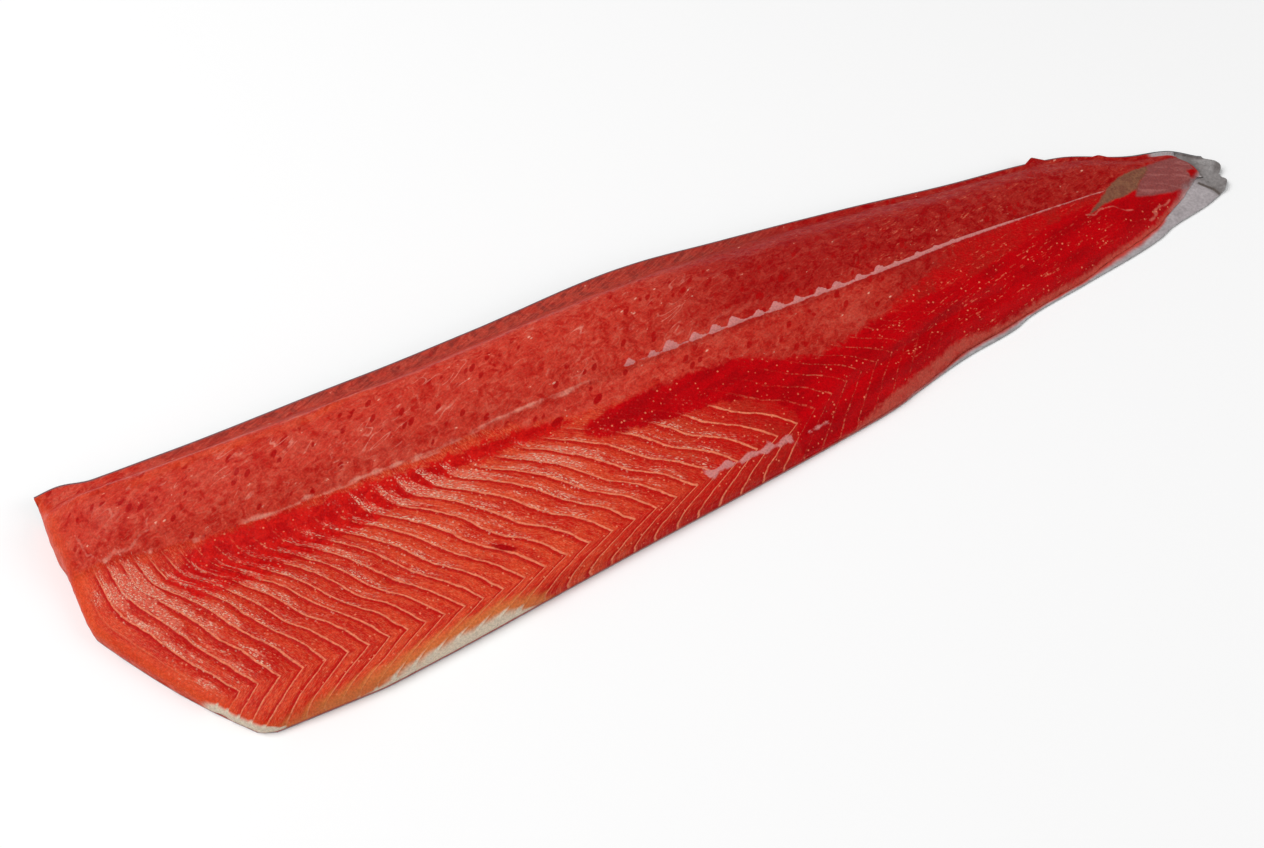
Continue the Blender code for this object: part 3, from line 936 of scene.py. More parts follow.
        # wet marks the patches of painted pink sheen.
        wet = t.ramp(t.math(Sum.SUBTRACT, score, t.times(b.furrow, 0.16)), 0.86, 1.0)
        strip = t.times(t.ramp(b.phase, 0.0, 0.04), t.ramp(b.phase, 0.5, 0.14), self.runs.on(t, b.flow),
                        t.ramp(some, 0.2, 0.6))
        glint_dots = t.times(self.glint_dots.on(t), t.ramp(islands, 0.5, 0.64), some)
        seams = t.scaled(self.seams.on(t, b.flow), 0.65, 0.25)
        # film is the painted pink sheen; the second share is the painted white glints on it.
        film = t.math(Sum.MAXIMUM, t.times(wet, seams), t.times(strip, 0.14))
        painted_glints = t.math(Sum.MAXIMUM, t.times(wet, self.pearls.on(t, b.flow), 0.9),
                        t.times(strip, self.seed.on(t, b.flow), 0.9))
        return film, t.math(Sum.MAXIMUM, painted_glints, t.times(glint_dots, 0.7))

    def borders(self, t: Tree, p: Patterns, base: NodeSocket, edging: NodeSocket) -> NodeSocket:
        """Colours the back rim, the rosy border, the backbone's line and ends, and the loin's lip.

        Args:
            t: The material.
            p: Its soft patterns.
            base: Colour below.
            edging: Share of the back rim.

        Returns:
            The colour.
        """
        spine = t.times(t.ramp(t.frayed(t.value("midline"), p.fine, 0.8), 0.2, 0.85),
                        t.ramp(t.value("midline"), 0.0, 0.2))
        lip = t.times(t.ramp(t.frayed(t.value("lip"), p.fine, 1.0), 0.35, 0.8),
                      t.ramp(t.value("lip"), 0.0, 0.2))
        # Back rim colours: partly the flesh's own darker tone, partly painted shade on the slope to the
        # back edge.
        rim_dark = t.mix(self.hatch.on(t), self.rim, self.rim_pale)
        rosy = t.times(self.area(t, "rosy", 1.0, 0.3, p.fine), t.ramp(p.mottle, 0.3, 0.6, 0.5, 0.95))
        return t.coats(
            base,
            (t.times(edging, t.ramp(p.mottle, 0.36, 0.6, 0.95, 0.4)), rim_dark),
            (rosy, self.rosy),
            (t.times(spine, 0.85), self.bone_line),
            (t.times(t.ramp(t.scaled(p.fine, 1.8, t.value("stroke")), 1.6, 0.9), 0.32), self.bone_line),
            (t.times(lip, 0.75), self.line),
            (t.times(self.area(t, "scallop", 0.8, 0.16, p.fine), 0.9), self.scallop))

    def ends(self, t: Tree, p: Patterns, b: Bands, base: NodeSocket) -> NodeSocket:
        """Colours the fat at the belly edge and the patches and clots at the tail.

        Args:
            t: The material.
            p: Its soft patterns.
            b: Its bands.
            base: Colour below.

        Returns:
            The colour.
        """
        streaks = t.frayed(p.warp, b.furrow, 0.4)
        tan = t.mix(t.ramp(p.fine, 0.4, 0.62), self.tan, self.tan_dark)
        return t.coats(
            base,
            (t.times(self.area(t, "fat_fade", 0.9, 0.45, streaks), 0.85), self.fat_orange),
            (self.area(t, "fat", 0.6, 0.3, streaks), self.fat),
            (self.area(t, "film", 0.5, 0.2, p.warp), t.mix(self.folds.on(t), self.film, self.film_pale)),
            (self.area(t, "tan", 0.7, 0.2, p.fine), tan),
            (self.area(t, "clot", 0.5, 0.15, p.fine), self.blood),
            (self.area(t, "bare", 0.7, 0.4, p.warp), self.silver))

    def build(self) -> Material:
        """Mixes the finish.

        Returns:
            The material.
        """
        t = Tree("wet salmon meat")
        p = Patterns(warp=t.noise(t.plain, 9.0, 3.0), fine=t.noise(t.plain, 2.2, 3.0),
                     tiny=t.noise(t.plain, 0.8, 2.0), cloud=t.noise(t.plain, 14.0, 5.0, 0.6, 0.6),
                     mottle=t.noise(t.plain, 4.5, 5.0, 0.65, 0.9))
        b = self.bands(t, p)
        # Painted highlights: pink sheen patches and white glints laid into the colour; the glints also
        # raise the bump.
        film, glint_granules = self.glints(t, b)
        edging = self.area(t, "rim", 1.0, 0.4, p.mottle)
        colour = t.coats(self.muscle(t, p, b), (film, self.gloss), (glint_granules, self.sheen))
        colour = self.ends(t, p, b, self.borders(t, p, colour, edging))
        colour = t.shade(colour, t.ramp(p.tiny, 0.25, 0.75, 0.82, 1.13))
        relief = t.scaled(p.fine, 0.6, t.times(p.tiny, 0.35))
        for height, share in ((glint_granules, 0.5), (t.times(b.line, b.drawn), 0.35), (p.mottle, 0.5)):
            relief = t.scaled(height, share, relief)
        t.settle(Subsurface_Weight=self.depth, Subsurface_Radius=self.depth_colour,
                 Subsurface_Scale=self.depth_reach * MM, Specular_IOR_Level=self.wetness)
        rough = t.scaled(edging, 0.35, t.ramp(p.fine, 0.3, 0.7, 0.32, 0.46))
        return t.finish(colour, rough, t.bump(relief, self.relief_depth, self.relief_strength))


@dataclass(frozen=True)
class SkinFinish:
    """Fish skin: small scales, dark along the back and silver at the belly."""

    dark: Colour = tint(70, 76, 82)
    silver: Colour = tint(172, 170, 170)
    blot: Colour = tint(38, 40, 44)
    bare: Colour = tint(110, 104, 102)
    bare_light: Colour = tint(134, 129, 128)
    inside: Colour = tint(160, 152, 154)
    pale_inside: Colour = tint(176, 168, 170)
    # Darker colour of a patch and of the fold line on the stub.
    dark_marks: Colour = tint(84, 74, 68)
    shore: Colour = tint(190, 60, 48)
    scales: Marks = Marks(2.6, 0.35, 0.62, (1.3, 1.0, 1.0), texture=Texture.CELLS)
    blots: Marks = Marks(11.0, 0.22, 0.14, texture=Texture.CELLS)
    gloss: float = 0.5
    relief_depth: float = 0.25
    relief_strength: float = 0.7

    def build(self) -> Material:
        """Mixes the finish.

        Returns:
            The material.
        """
        t = Tree("salmon skin")
        warp = t.noise(t.plain, 7.0, 4.0)
        fine = t.noise(t.plain, 1.2, 3.0)
        back = t.frayed(t.value("back"), warp, 0.35)
        rims = self.scales.on(t)
        blots = t.times(self.blots.on(t), t.ramp(back, 0.4, 0.7))
        shore = t.ramp(t.frayed(t.value("shore"), warp, 0.6), 0.1, 0.85)
        inner = t.coats(
            t.mix(t.ramp(warp, 0.35, 0.65), self.pale_inside, self.inside),
            (t.value("stub"), t.mix(t.ramp(warp, 0.4, 0.6), self.bare, self.bare_light)),
            (t.ramp(t.value("dark_marks"), 0.3, 0.8), self.dark_marks),
            (t.times(shore, t.ramp(t.value("shore"), 0.0, 0.15)), self.shore))
        colour = t.coats(
            t.mix(t.ramp(back, 0.25, 0.8), self.silver, self.dark),
            (t.times(rims, 0.35), self.dark), (t.times(blots, 0.8), self.blot), (t.value("inner"), inner))
        colour = t.shade(colour, t.ramp(fine, 0.25, 0.75, 0.82, 1.12))
        t.settle(Specular_IOR_Level=self.gloss)
        bump = t.bump(t.scaled(rims, -0.6, t.times(fine, 0.5)), self.relief_depth, self.relief_strength)
        return t.finish(colour, t.ramp(warp, 0.3, 0.7, 0.32, 0.48), bump)


@dataclass(frozen=True)
class TableFinish:
    """Plain matt white surface under the side."""

    white: Colour = (0.97, 0.97, 0.97)
    rough: float = 0.9

    def build(self) -> Material:
        """Mixes the finish.

        Returns:
            The material.
        """
        t = Tree("white table")
        t.settle(Base_Color=self.white, Roughness=self.rough, Specular_IOR_Level=0.0)
        return t.material


def sheet(columns: int, rows: int) -> bmesh.types.BMesh:
    """A closed sheet, two grids joined at their edges, whose vertices know their column and row.

    Args:
        columns: Number of faces along.
        rows: Number of faces across.

    Returns:
        The mesh, one unit square and one unit high.
    """
    bm = bmesh.new()
    column = bm.verts.layers.int.new("column")
    row = bm.verts.layers.int.new("row")
    upper = bm.verts.layers.int.new("upper")
    bmesh.ops.create_grid(bm, x_segments=columns, y_segments=rows, size=0.5)
    for v in bm.verts:
        v[column] = round((v.co.x + 0.5) * columns)
        v[row] = round((v.co.y + 0.5) * rows)
    raised = bmesh.ops.extrude_face_region(bm, geom=bm.faces[:])["geom"]
    for v in raised:
        if isinstance(v, bmesh.types.BMVert):
            v[upper] = 1
            v.co.z = 1.0
    bmesh.ops.recalc_face_normals(bm, faces=bm.faces[:])
    return bm


def place(bm: bmesh.types.BMesh, low: Array, high: Array) -> None:
    """Moves the sheet's vertices.

    Args:
        bm: The sheet.
        low: Points of its lower face by column and row.
        high: Points of its upper face by column and row.
    """
    column, row, upper = (bm.verts.layers.int[n] for n in ("column", "row", "upper"))
    for v in bm.verts:
        v.co = (high if v[upper] else low)[v[column], v[row]] * MM


def join_level_faces(bm: bmesh.types.BMesh, height: float) -> None:
    """Makes one face of the level faces at a height, all hidden between meat and skin or below.

    Args:
        bm: The mesh.
        height: Where the faces lie.
    """
    level = [f for f in bm.faces if all(abs(v.co.z - height * MM) < 1e-7 for v in f.verts)]
    if len(level) > 1:
        bmesh.ops.dissolve_faces(bm, faces=level)


def carry(bm: bmesh.types.BMesh, low: dict[str, Array], high: dict[str, Array]) -> None:
    """Writes numbers on the vertices, for the finish to read.

    Args:
        bm: The sheet.
        low: Values of the lower face by column and row, under their names.
        high: The same of the upper face.
    """
    column, row, upper = (bm.verts.layers.int[n] for n in ("column", "row", "upper"))
    for name in high:
        if high[name].ndim == 2:
            layer = bm.verts.layers.float.new(name)
            for v in bm.verts:
                v[layer] = float((high if v[upper] else low)[name][v[column], v[row]])
        else:
            layer = bm.verts.layers.float_vector.new(name)
            for v in bm.verts:
                v[layer] = Vector((high if v[upper] else low)[name][v[column], v[row]])


def finish(bm: bmesh.types.BMesh, name: str, look: Material) -> Object:
    """Turns the mesh into an object of the scene.

    Args:
        bm: The mesh.
        name: Name of the piece.
        look: Its finish.

    Returns:
        The piece.
    """
    mesh = bpy.data.meshes.new(name)
    bm.to_mesh(mesh)
    bm.free()
    mesh.shade_smooth()
    mesh.materials.append(look)
    thing = bpy.data.objects.new(name, mesh)
    bpy.context.scene.collection.objects.link(thing)
    return thing


@dataclass
class Meat:
    """The meat of the side: dense grid over the form, with its relief and painted areas."""

    columns_per_segment: int = 9
    rows_below_corner: int = 20
    rows_to_backbone: int = 66
    rows_of_loin: int = 54
    arc_rows: int = 6
    wall_cuts: int = 3
    edge_crowding: float = 1.25
    under: float = 1.04
    terrace_share: float = 0.75
    back_rim: float = 0.97
    crease: Path = ((38, -32), (50.6, -25), (60.6, -22.7), (76, -19), (90, -14.6), (104, -11), (130, -8))
    bulge: Path = ((60, -29), (76, -25), (92, -20), (108, -16.5), (128, -13.5))
    deep_zone: Path = (
        (-50, 0), (-35, 3), (-18, 5), (0, 5), (19, 5), (34, 1), (42, -5), (52, -6), (62, -2), (83, -3),
        (103, 0), (123, 2), (144, 7), (165, 13), (190, 17), (215, 17), (238, 12), (232, 5), (222, -1),
        (200, -9), (170, -15), (150, -20), (130, -23), (104, -27), (84, -33), (66, -38), (45, -42),
        (24, -46), (20, -39), (25, -32), (25, -27), (20, -21), (10, -14.5), (-2, -12), (-17, -12),
        (-32, -10), (-47, -8), (-52, -4))
    head_zone: Path = (
        (-216, 0), (-205, 9), (-190, 9.5), (-165, 9.5), (-140, 8.5), (-118, 8), (-100, 8), (-80, 9),
        (-62, 8), (-50, 3), (-60, 0), (-80, 0), (-100, -1), (-120, -5), (-140, -9), (-165, -12),
        (-190, -13), (-208, -12))
    # Zone below the backbone that takes the loin's milky colour, partly its own tone and partly painted
    # sheen.
    milky_sheen_zone: Path = (
        (-95, 15), (-60, 16), (-5, 16), (60, 16), (93, 17), (120, 18), (150, 19), (138, 14), (122, 11),
        (109, 8), (95, 4.5), (84, 1), (73, -3), (64, -5), (54, -8), (44, -8.5), (34, -5.5), (24, -1),
        (14, 2.5), (0, 3.5), (-18, 4), (-40, 4), (-70, 7))
    tan_zone: Path = (
        (193.5, 17.1), (202.4, 23.1), (209.1, 25.8), (216.1, 26.9), (223.8, 27.0), (223.8, 25.1),
        (216.8, 20.7), (213.0, 17.5), (206.2, 16.0), (200.0, 15.8), (193.9, 14.9), (188.6, 13.2),
        (184.3, 11.9), (188.0, 14.2))
    film_zone: Path = (
        (223.8, 25.8), (224.2, 27.2), (231.8, 28.6), (238.7, 29.2), (243.5, 26.5), (244.5, 21.1),
        (244.0, 15.8), (243.6, 12.3), (236.3, 12.4), (227.2, 11.6), (218.5, 12.5), (211.1, 14.7),
        (213.0, 17.5), (216.8, 20.7))
    bare_zone: Path = (
        (249, 15.0), (243.5, 12.4), (236, 12.0), (232.2, 9.4), (228.1, 6.0), (224, 3.8), (222.8, -2),
        (235, -4), (252, 4))
    cluster: Path = (
        (-16, -38.8), (-12, -37.4), (-8, -37.6), (-3, -38.2), (3, -37.0), (7, -37.8), (12, -36.8),
        (17, -37.2))
    cluster_tail: Path = ((27, -36.4), (36, -35.0))
    lobes: tuple[Point, ...] = (
        (-12.5, -42.2), (-6.5, -42.0), (-1.0, -41.6), (4.5, -41.4), (10.0, -41.0), (15.5, -40.6),
        (-12.0, -34.2), (-3.5, -34.6), (6.0, -33.6), (13.5, -33.4))
    # Patches of painted sheen: middle, reach, turn and strength.
    sheens: tuple[tuple[Point, Point, float, float], ...] = (
        ((-225, 2), (13, 9), -50, 2.2), ((-216, -12), (12, 8), -60, 1.3), ((-207, -31), (8, 4), -50, 1.1),
        ((-215, -42), (8, 3), -35, 1.3), ((-186, -12), (9, 4), -55, 1.2), ((-237, 6), (4, 5), 0, 1.3),
        ((-231, -9), (3, 5), 30, 1.3), ((-221, -24), (3, 5), 30, 1.2), ((-178, -20), (8, 4), -55, 1.1),
        ((-200, -22), (14, 5), -55, 1.0), ((-112, -3), (32, 7), -8, 1.45), ((-66, -9), (24, 7), -20, 1.4),
        ((-150, -16), (24, 7), -30, 0.9), ((-100, -24), (24, 6), -28, 0.85),
        ((-60, -26), (20, 6), -28, 0.8))
    line_start: Curve = Curve((
        (-250, 2.0), (-200, 0.0), (-170, -4.0), (-120, -6.0), (-60, -10.0), (0, -14.0)))
    skin_show: Curve = Curve(((90, -5.0), (115, -3.5), (200, -3.0), (225, -1.0), (250, 1.5)))
    rosy_width: Curve = Curve((
        (30, -3.0), (50, 0.5), (68, 3.0), (98, 3.2), (125, 1.4), (210, 1.4), (250, 1.6)))
    clots: tuple[tuple[Point, Point, float], ...] = (
        ((244.6, 24.6), (2.8, 1.6), -60), ((242.4, 17.2), (3.0, 2.4), -45), ((-99, -36), (5.5, 1.4), -35),
        ((-42, 7.5), (3.0, 1.5), 30), ((-60, 5), (4.0, 1.5), 20))
    strokes: tuple[Path, ...] = (
        ((-239, 29), (-238, 21), (-233, 17), (-227, 15.5), (-219, 17), (-212, 18.5)),
        ((184.5, 11.9), (193.0, 13.1), (200.0, 11.4), (205.4, 8.7)),
        ((225.1, 8.9), (220.9, 7.1), (214.2, 4.8), (209.1, 3.3)))
    fat_width: Curve = Curve((
        (-208, 0.2), (-203, -2.0), (-197, -8.0), (-180, -8.0), (-166, -3.0), (-155, 0.2), (-132, 1.6),
        (-112, 1.5), (-101, -0.2), (-92, -5.0), (-60, -10.0)))
    fade_width: Curve = Curve((
        (-205, 0.0), (-185, 1.5), (-150, 4.5), (-120, 5.5), (-100, 3.5), (-92, 0.0), (-84, -6.0),
        (-60, -10.0)))
    pits: tuple[tuple[Point, Point, float], ...] = (
        ((-210, -28), (7, 2.6), 1.4), ((-104, -38), (8, 2.2), 1.0), ((-52, -42), (4, 2.2), 1.0),
        ((-143, -32), (3, 1.6), 0.9))
    lip: Curve = Curve(((-240, 44.0), (-225, 42.5), (-180, 41.0), (-130, 42.0), (-80, 44.0), (-40, 47.0)))
    midline: Curve = Curve((
        (-250, 16.0), (-238, 17.0), (-228, 15.0), (-215, 12.0), (-183, 9.6), (-110, 9.8), (-67, 13.4),
        (-46, 14.4), (-20, 14.8), (60, 14.6), (93, 15.8), (120, 17.8), (190, 20.2), (215, 21.0)))
    band_depth: Curve = Curve(((-160, 1.0), (-100, 0.75), (-40, 0.42), (20, 0.32)))
    line_along: Curve = Curve(((-250, 1.0), (-20, 1.0), (30, 0.85), (60, 0.55), (85, 0.2), (120, 0.0)))
    rim_start: Curve = Curve(((-250, 0.94), (-150, 0.84), (-60, 0.78), (0, 0.78), (60, 0.86), (120, 0.98)))
    vertebra_start: float = -25.0
    vertebra_gap: float = 9.2
    vertebrae: int = 17
    vertebra_half: float = 3.7
    vertebra_rise: float = 3.4
    vertebra_point: float = 1.35
    vertebra_band: Curve = Curve((
        (-40, 0.1), (0, 0.3), (60, 0.4), (92, 0.6), (112, 0.75), (145, 0.5), (160, 0.3), (195, 0.2),
        (210, 0.0)))
    segment_length: float = 8.5
    crease_size: Point = (-1.4, 2.6)
    bulge_size: Point = (0.8, 4.5)
    lobe_reach: Point = (3.4, 2.1)
    lobe_turn: float = 55.0
    pit_turn: float = -35.0
    bumps: tuple[tuple[float, Grain], ...] = (
        (0.22, Grain(11.0, 13)), (0.12, Grain(4.5, 14, 1.6)), (0.06, Grain(2.0, 15)))
    loin_bumps: tuple[tuple[float, Grain], ...] = (
        (0.25, Grain(7.0, 16, 1.8, 20.0)), (0.12, Grain(2.8, 17, 2.5, 15.0)))
    wall_bump: float = 0.25
    wall_grain: Grain = Grain(3.0, 41)

    def grid(self) -> tuple[Array, Array]:
        """Segment line and share across of every point of the upper face.

        Returns:
            The two arrays, by column and row.
        """
        lines = np.arange(int(FORM.segments) * self.columns_per_segment + 1) / self.columns_per_segment
        corner = FORM.corner_q_of(lines)[:, None]
        shares = np.linspace(1, 0, self.rows_below_corner, endpoint=False)
        shares = 1 - (1 - shares) ** self.edge_crowding
        below = corner - shares[None, :] * (1 + corner)
        inner = corner * np.linspace(1, 0, self.rows_to_backbone, endpoint=False)[None, :]
        loin = np.tile(np.linspace(0, 1, self.rows_of_loin), (len(lines), 1))
        q = np.concatenate([below, inner, loin], 1)
        return np.broadcast_to(lines[:, None], q.shape), q

    def scallops(self, x: Array, y: Array) -> Array:
        """Row of vertebra ends along the backbone, thinning to a line at the tail.

        Args:
            x: Places along the side.
            y: Places across it.

        Returns:
            Shares from 0 to 1.
        """
        base = self.midline.at(x)
        share = np.zeros(np.shape(x))
        for number in range(self.vertebrae):
            middle = self.vertebra_start + self.vertebra_gap * number + 0.9 * math.sin(number * 2.3)
            size = (1 - 0.35 * span(middle, 60, 120)) * (0.9 + 0.16 * math.sin(number * 3.7 + 1.0))
            size *= 0.6 + 0.4 * smooth(number / 2)
            away = np.abs(x - middle) / (self.vertebra_half * size)
            half = np.clip(1 - away ** self.vertebra_point, 0, 1)
            rise = y - base
            dome = border(self.vertebra_rise * size * half - rise, 1.4) * border(rise + 0.3, 0.8)
            share = np.maximum(share, dome * (half > 0))
        thick = self.vertebra_band.at(x)
        band = border(thick - np.abs(y - base - 0.4), 0.9)
        return np.maximum(share, band * (x > -32) * (thick > 0.02))

    def lip_gap(self, x: Array, y: Array) -> Array:
        """Distance to the back from the wandering lip of the loin."""
        return y - self.lip.at(x) - 3.8 * Grain(20.0, 26).along(x) - 1.9 * Grain(7.0, 18).along(x)

    def cluster_area(self, x: Array, y: Array) -> Array:
        """Pale connective tissue where the bands end near the belly edge.

        Args:
            x: Places along the side.
            y: Places across it.

        Returns:
            Shares from 0 to 1.
        """
        size = 1.0 + 0.5 * Grain(3.4, 27).at(x, y)
        share = 1.15 - distance_to(x, y, self.cluster) / (4.2 * size)
        share = np.maximum(share, 0.62 - distance_to(x, y, self.cluster_tail) / (2.6 * size))
        for lobe in self.lobes:
            share = share - 1.3 * mound(x, y, lobe, self.lobe_reach, self.lobe_turn)
        return np.clip(share, 0, 1)

    def band_relief(self, c: Array, x: Array, y: Array, q: Array) -> Array:
        """Height of the steps from band to band, each with its groove.

        Args:
            c: Segment lines.
            x: Places along the side.
            y: Places across it.
            q: The same as shares.

        Returns:
            Heights to add.
        """
        rough = 0.72 + 0.5 * Grain(9.0, 11).at(x, y) + 0.25 * Grain(3.5, 24).at(x, y)
        place_in = FORM.drawn_segment(c, x, q) + 0.06 * Grain(12.0, 12).at(x, y) + 0.1
        f = place_in - np.floor(place_in)
        terrace = span(f, 0, 0.15) - 0.35 * f - 0.65 * span(f, 0.6, 0.92)
        calm = 1 - 0.97 * smooth(2 * patch(x, y, self.deep_zone, 12.0))
        calm = calm * span(self.line_start.at(x) - y + self.midline.at(x), -2, 14)
        off_cut = np.maximum(span(x - FORM.head_cut_x(q), 3, 12), span(y, -48, -56))
        calm = calm * self.band_depth.at(x) * (0.35 + 0.65 * off_cut)
        depth = self.terrace_share * FORM.groove_depth * FORM.groove_along.at(x) * FORM.groove_across.at(q)
        return -depth * (1 - terrace) * rough * calm

    def relief(self, c: Array, x: Array, y: Array, q: Array) -> Array:
        """Height of the small forms on the meat: grooves, pits, creases and unevenness.

        Args:
            c: Segment lines.
            x: Places along the side.
            y: Places across it.
            q: The same as shares.

        Returns:
            Heights to add.
        """
        z = self.band_relief(c, x, y, q)
        loin = span(q, 0.05, 0.2) * span(q, 0.98, 0.78)
        for bumps, share in ((self.bumps, 1.0), (self.loin_bumps, loin)):
            for height, grain in bumps:
                z = z + height * share * grain.at(x, y)
        spine = y - self.midline.at(x)
        ridge = 0.22 + 0.2 * Grain(8.0, 23).at(x, y)
        z = z + span(x, 230, 190) * (ridge * bell(spine - 0.5, 1.2) - 0.25 * bell(spine + 1.8, 1.6))
        z = z + 0.7 * self.scallops(x, y)
        lip = self.lip_gap(x, y)
        shown = span(x, -244, -232) * span(x, -60, -100) * (0.7 + 0.5 * Grain(12.0, 25).at(x, y))
        z = z + shown * (0.35 * bell(lip + 1.6, 2.0) - 0.3 * bell(lip - 0.8, 1.1))
        for path, (height, width) in ((self.crease, self.crease_size), (self.bulge, self.bulge_size)):
            z = z + height * bell(distance_to(x, y, path), width)
        for middle, reach, depth in self.pits:
            z = z - depth * mound(x, y, middle, reach, self.pit_turn) * (1 + 0.4 * Grain(2.5, 19).at(x, y))
        z = z + 0.4 * smooth(1.2 * self.cluster_area(x, y))
        return z + 0.35 * patch(x, y, self.tan_zone, 2.0) - 0.3 * patch(x, y, self.film_zone, 3.0)

    def surface(self, c: Array, q: Array) -> Array:
        """Points of the upper face.

        Args:
            c: Segment lines.
            q: Shares across the side.

        Returns:
            Points by column and row.
        """
        x, y = FORM.plan(c, q, FORM.flesh_end(q), True)
        z = FORM.body_height(x, q)
        rim = FORM.rim_rise.at(x) + FORM.rim_lip
        rim_share = span(q, 0.66 + 0.2 * span(x, -20, 60), 1)
        z = z * (1 - rim_share) + rim * rim_share
        from_cut = x - FORM.head_cut_x(q)
        rolled = FORM.head_roll_share * span(q, 0.98, 0.82)
        z = z * (1 - rolled * span(from_cut, FORM.head_roll, 0))
        z = z + self.relief(c, x, y, q) * span(q, 1, 0.94) * span(FORM.flesh_end(q) - x, -1, 7)
        edge = FORM.edge_gap(x, y, q)
        turn = np.clip(1 - edge / FORM.edge_round, 0, 1)
        kept = FORM.edge_round_share * (1 - 0.8 * span(x, 80, 140))
        lowered = FORM.seat + (z - FORM.seat) * (1 - (1 - kept) * (1 - np.sqrt(1 - turn * turn)))
        z = np.where(q < self.back_rim, lowered, z)
        near = span(edge, 5, 0) * (q < self.back_rim)
        y = y + 0.45 * near * Grain(5.0, 21).at(x, y) * span(q, -1, -0.975)
        x = x + 0.35 * near * Grain(4.0, 22).at(x, y) * span(c, 0, 0.5)
        for at, reach, half in FORM.shreds:
            y = y + reach * np.clip(1 - np.abs(x - at) / half, 0, 1) * span(q, 0.85, 1)
        least = FORM.seat + 0.8 - 0.75 * span(x, 80, 140) * (q < 0.9)
        return np.stack([x, y, np.maximum(z, least)], -1)

    def underside(self, high: Array) -> Array:
        """Points of the lower face, flat on the skin and rounded in the skin's back edge.

        Args:
            high: Points of the upper face.

        Returns:
            Points by column and row.
        """
        low = high.copy()
        low[:, :, 2] = self.under
        rows = high.shape[1]
        flat_rows = rows - self.arc_rows - 1
        first = self.rows_below_corner + self.rows_to_backbone
        flat_edge = FORM.arc(high[:, :, 0], 0.0, self.under)[0]
        start = high[:, first - 1, 1]
        for row in range(first, rows):
            if row <= flat_rows:
                share = (row - first + 1) / (flat_rows - first + 1)
                low[:, row, 1] = start + (flat_edge[:, row] - start) * share
            else:
                turn = (row - flat_rows) / self.arc_rows
                low[:, row, 1], low[:, row, 2] = FORM.arc(high[:, row, 0], turn, self.under)
        return low

    def areas(self, c: Array, q: Array, high: Array, drop: Array | float) -> dict[str, Array]:
        """Painted areas and pattern directions of the upper face and, below it, of the cut walls.

        Args:
            c: Segment lines.
            q: Shares across the side.
            high: Points of the upper face.
            drop: How far down the wall below them the areas are read.

        Returns:
            Numbers by column and row, under the names that the finish reads.
        """
        x, y = high[:, :, 0], high[:, :, 1]
        spine = y - self.midline.at(x)
        from_cut = x - FORM.head_cut_x(q)
        belly_gap = y - FORM.belly_edge.at(x) - FORM.bare_strip.at(x) - drop
        drawn = FORM.drawn_segment(c, x, q)
        deep = patch(x, y, self.deep_zone, 8.0)
        milky_sheen_area = patch(x, y, self.milky_sheen_zone, 12.0)
        line = smooth((self.line_start.at(x) - spine) / 9) * span(from_cut, 0, 3) * self.line_along.at(x)
        line = line * np.maximum(span(from_cut, 2, 11), span(y, -50, -56))
        line = line * (1 - 0.92 * smooth(deep * 1.6 - 0.3) * span(x, 45, 15))
        lower = 0.8 * span(FORM.corner_q_of(c) - q, -0.02, 0.03) * span(x, -75, -35)
        ruddy = 0.55 * span(x, -120, -170) * span(from_cut, 6, 16) * span(y, -56, -44)
        clot = np.zeros(x.shape)
        for middle, reach, turn in self.clots:
            clot = np.maximum(clot, mound(x, y, middle, reach, turn))
        stroke = np.full(x.shape, 3.0)
        aside, along = 1.5 * Grain(5.0, 35).at(x, y), 1.5 * Grain(5.0, 36).at(x, y)
        for path in self.strokes:
            stroke = np.minimum(stroke, distance_to(x + along, y + aside, path))
        lip = bell(self.lip_gap(x, y), 0.6) * span(x, -70, -110) * span(x, -232, -202)
        tail_fade = border(self.skin_show.at(x) - belly_gap, 5.0) * span(x, 85, 115)
        back_bare = span(x, 229, 235) * span(q, 0.86, 0.94)
        bare = np.maximum(np.maximum(patch(x, y, self.bare_zone, 8.0), tail_fade), back_bare)
        fat, fade = self.fat_areas(x, y, belly_gap, from_cut - drop)
        return {
            "segment": drawn, "loin": border(spine, 3.0), "line": line, "lip": lip * self.lip_shown(x),
            "crimson": np.maximum(deep, 0.8 * patch(x, y, self.head_zone, 10.0)), "bare": bare,
            # grain: where painted glints and painted sheen go.
            "grain": self.glint_area(x, y, spine, from_cut, deep), "fat": fat, "fat_fade": fade,
            "orange": self.orange_area(x, y, spine, from_cut), "midline": self.midline_area(x, y, spine),
            "scallop": np.maximum(self.scallops(x, y), self.cluster_area(x, y)),
            "rim": self.rim_area(x, y, q), "mottle": milky_sheen_area * (1.0 - 0.5 * span(x, 90, 130)),
            "wisp": span(x, -240, -210) * span(x, 40, -20) * span(q, 0.7, 0.5) * span(spine, 0, 6),
            "tan": patch(x, y, self.tan_zone, 3.0), "film": patch(x, y, self.film_zone, 4.0),
            "ruddy": np.maximum(lower, ruddy),
            "flow": np.stack([drawn * self.segment_length, (FORM.backbone.at(x) - y) * 1.35, x * 0.0], -1),
            "tail": span(x, -85, 45) * (1 - 0.3 * milky_sheen_area * span(x, 105, 70)),
            "specks": span(x, -240, -220) * span(y, 14, 8) * 0.8, "clot": clot, "stroke": stroke,
            "fibres": span(x, 60, 100) * span(x, 235, 215) * (1 - 0.6 * span(x, 140, 180)),
            "rosy": border(self.rosy_width.at(x) - belly_gap, 3.0) * span(x, 15, 45),
        }

    def lip_shown(self, x: Array) -> Array:
        """How much of the lip's pale line shows."""
        return np.clip(0.22 + 1.0 * Grain(8.0, 33).along(x), 0, 1)

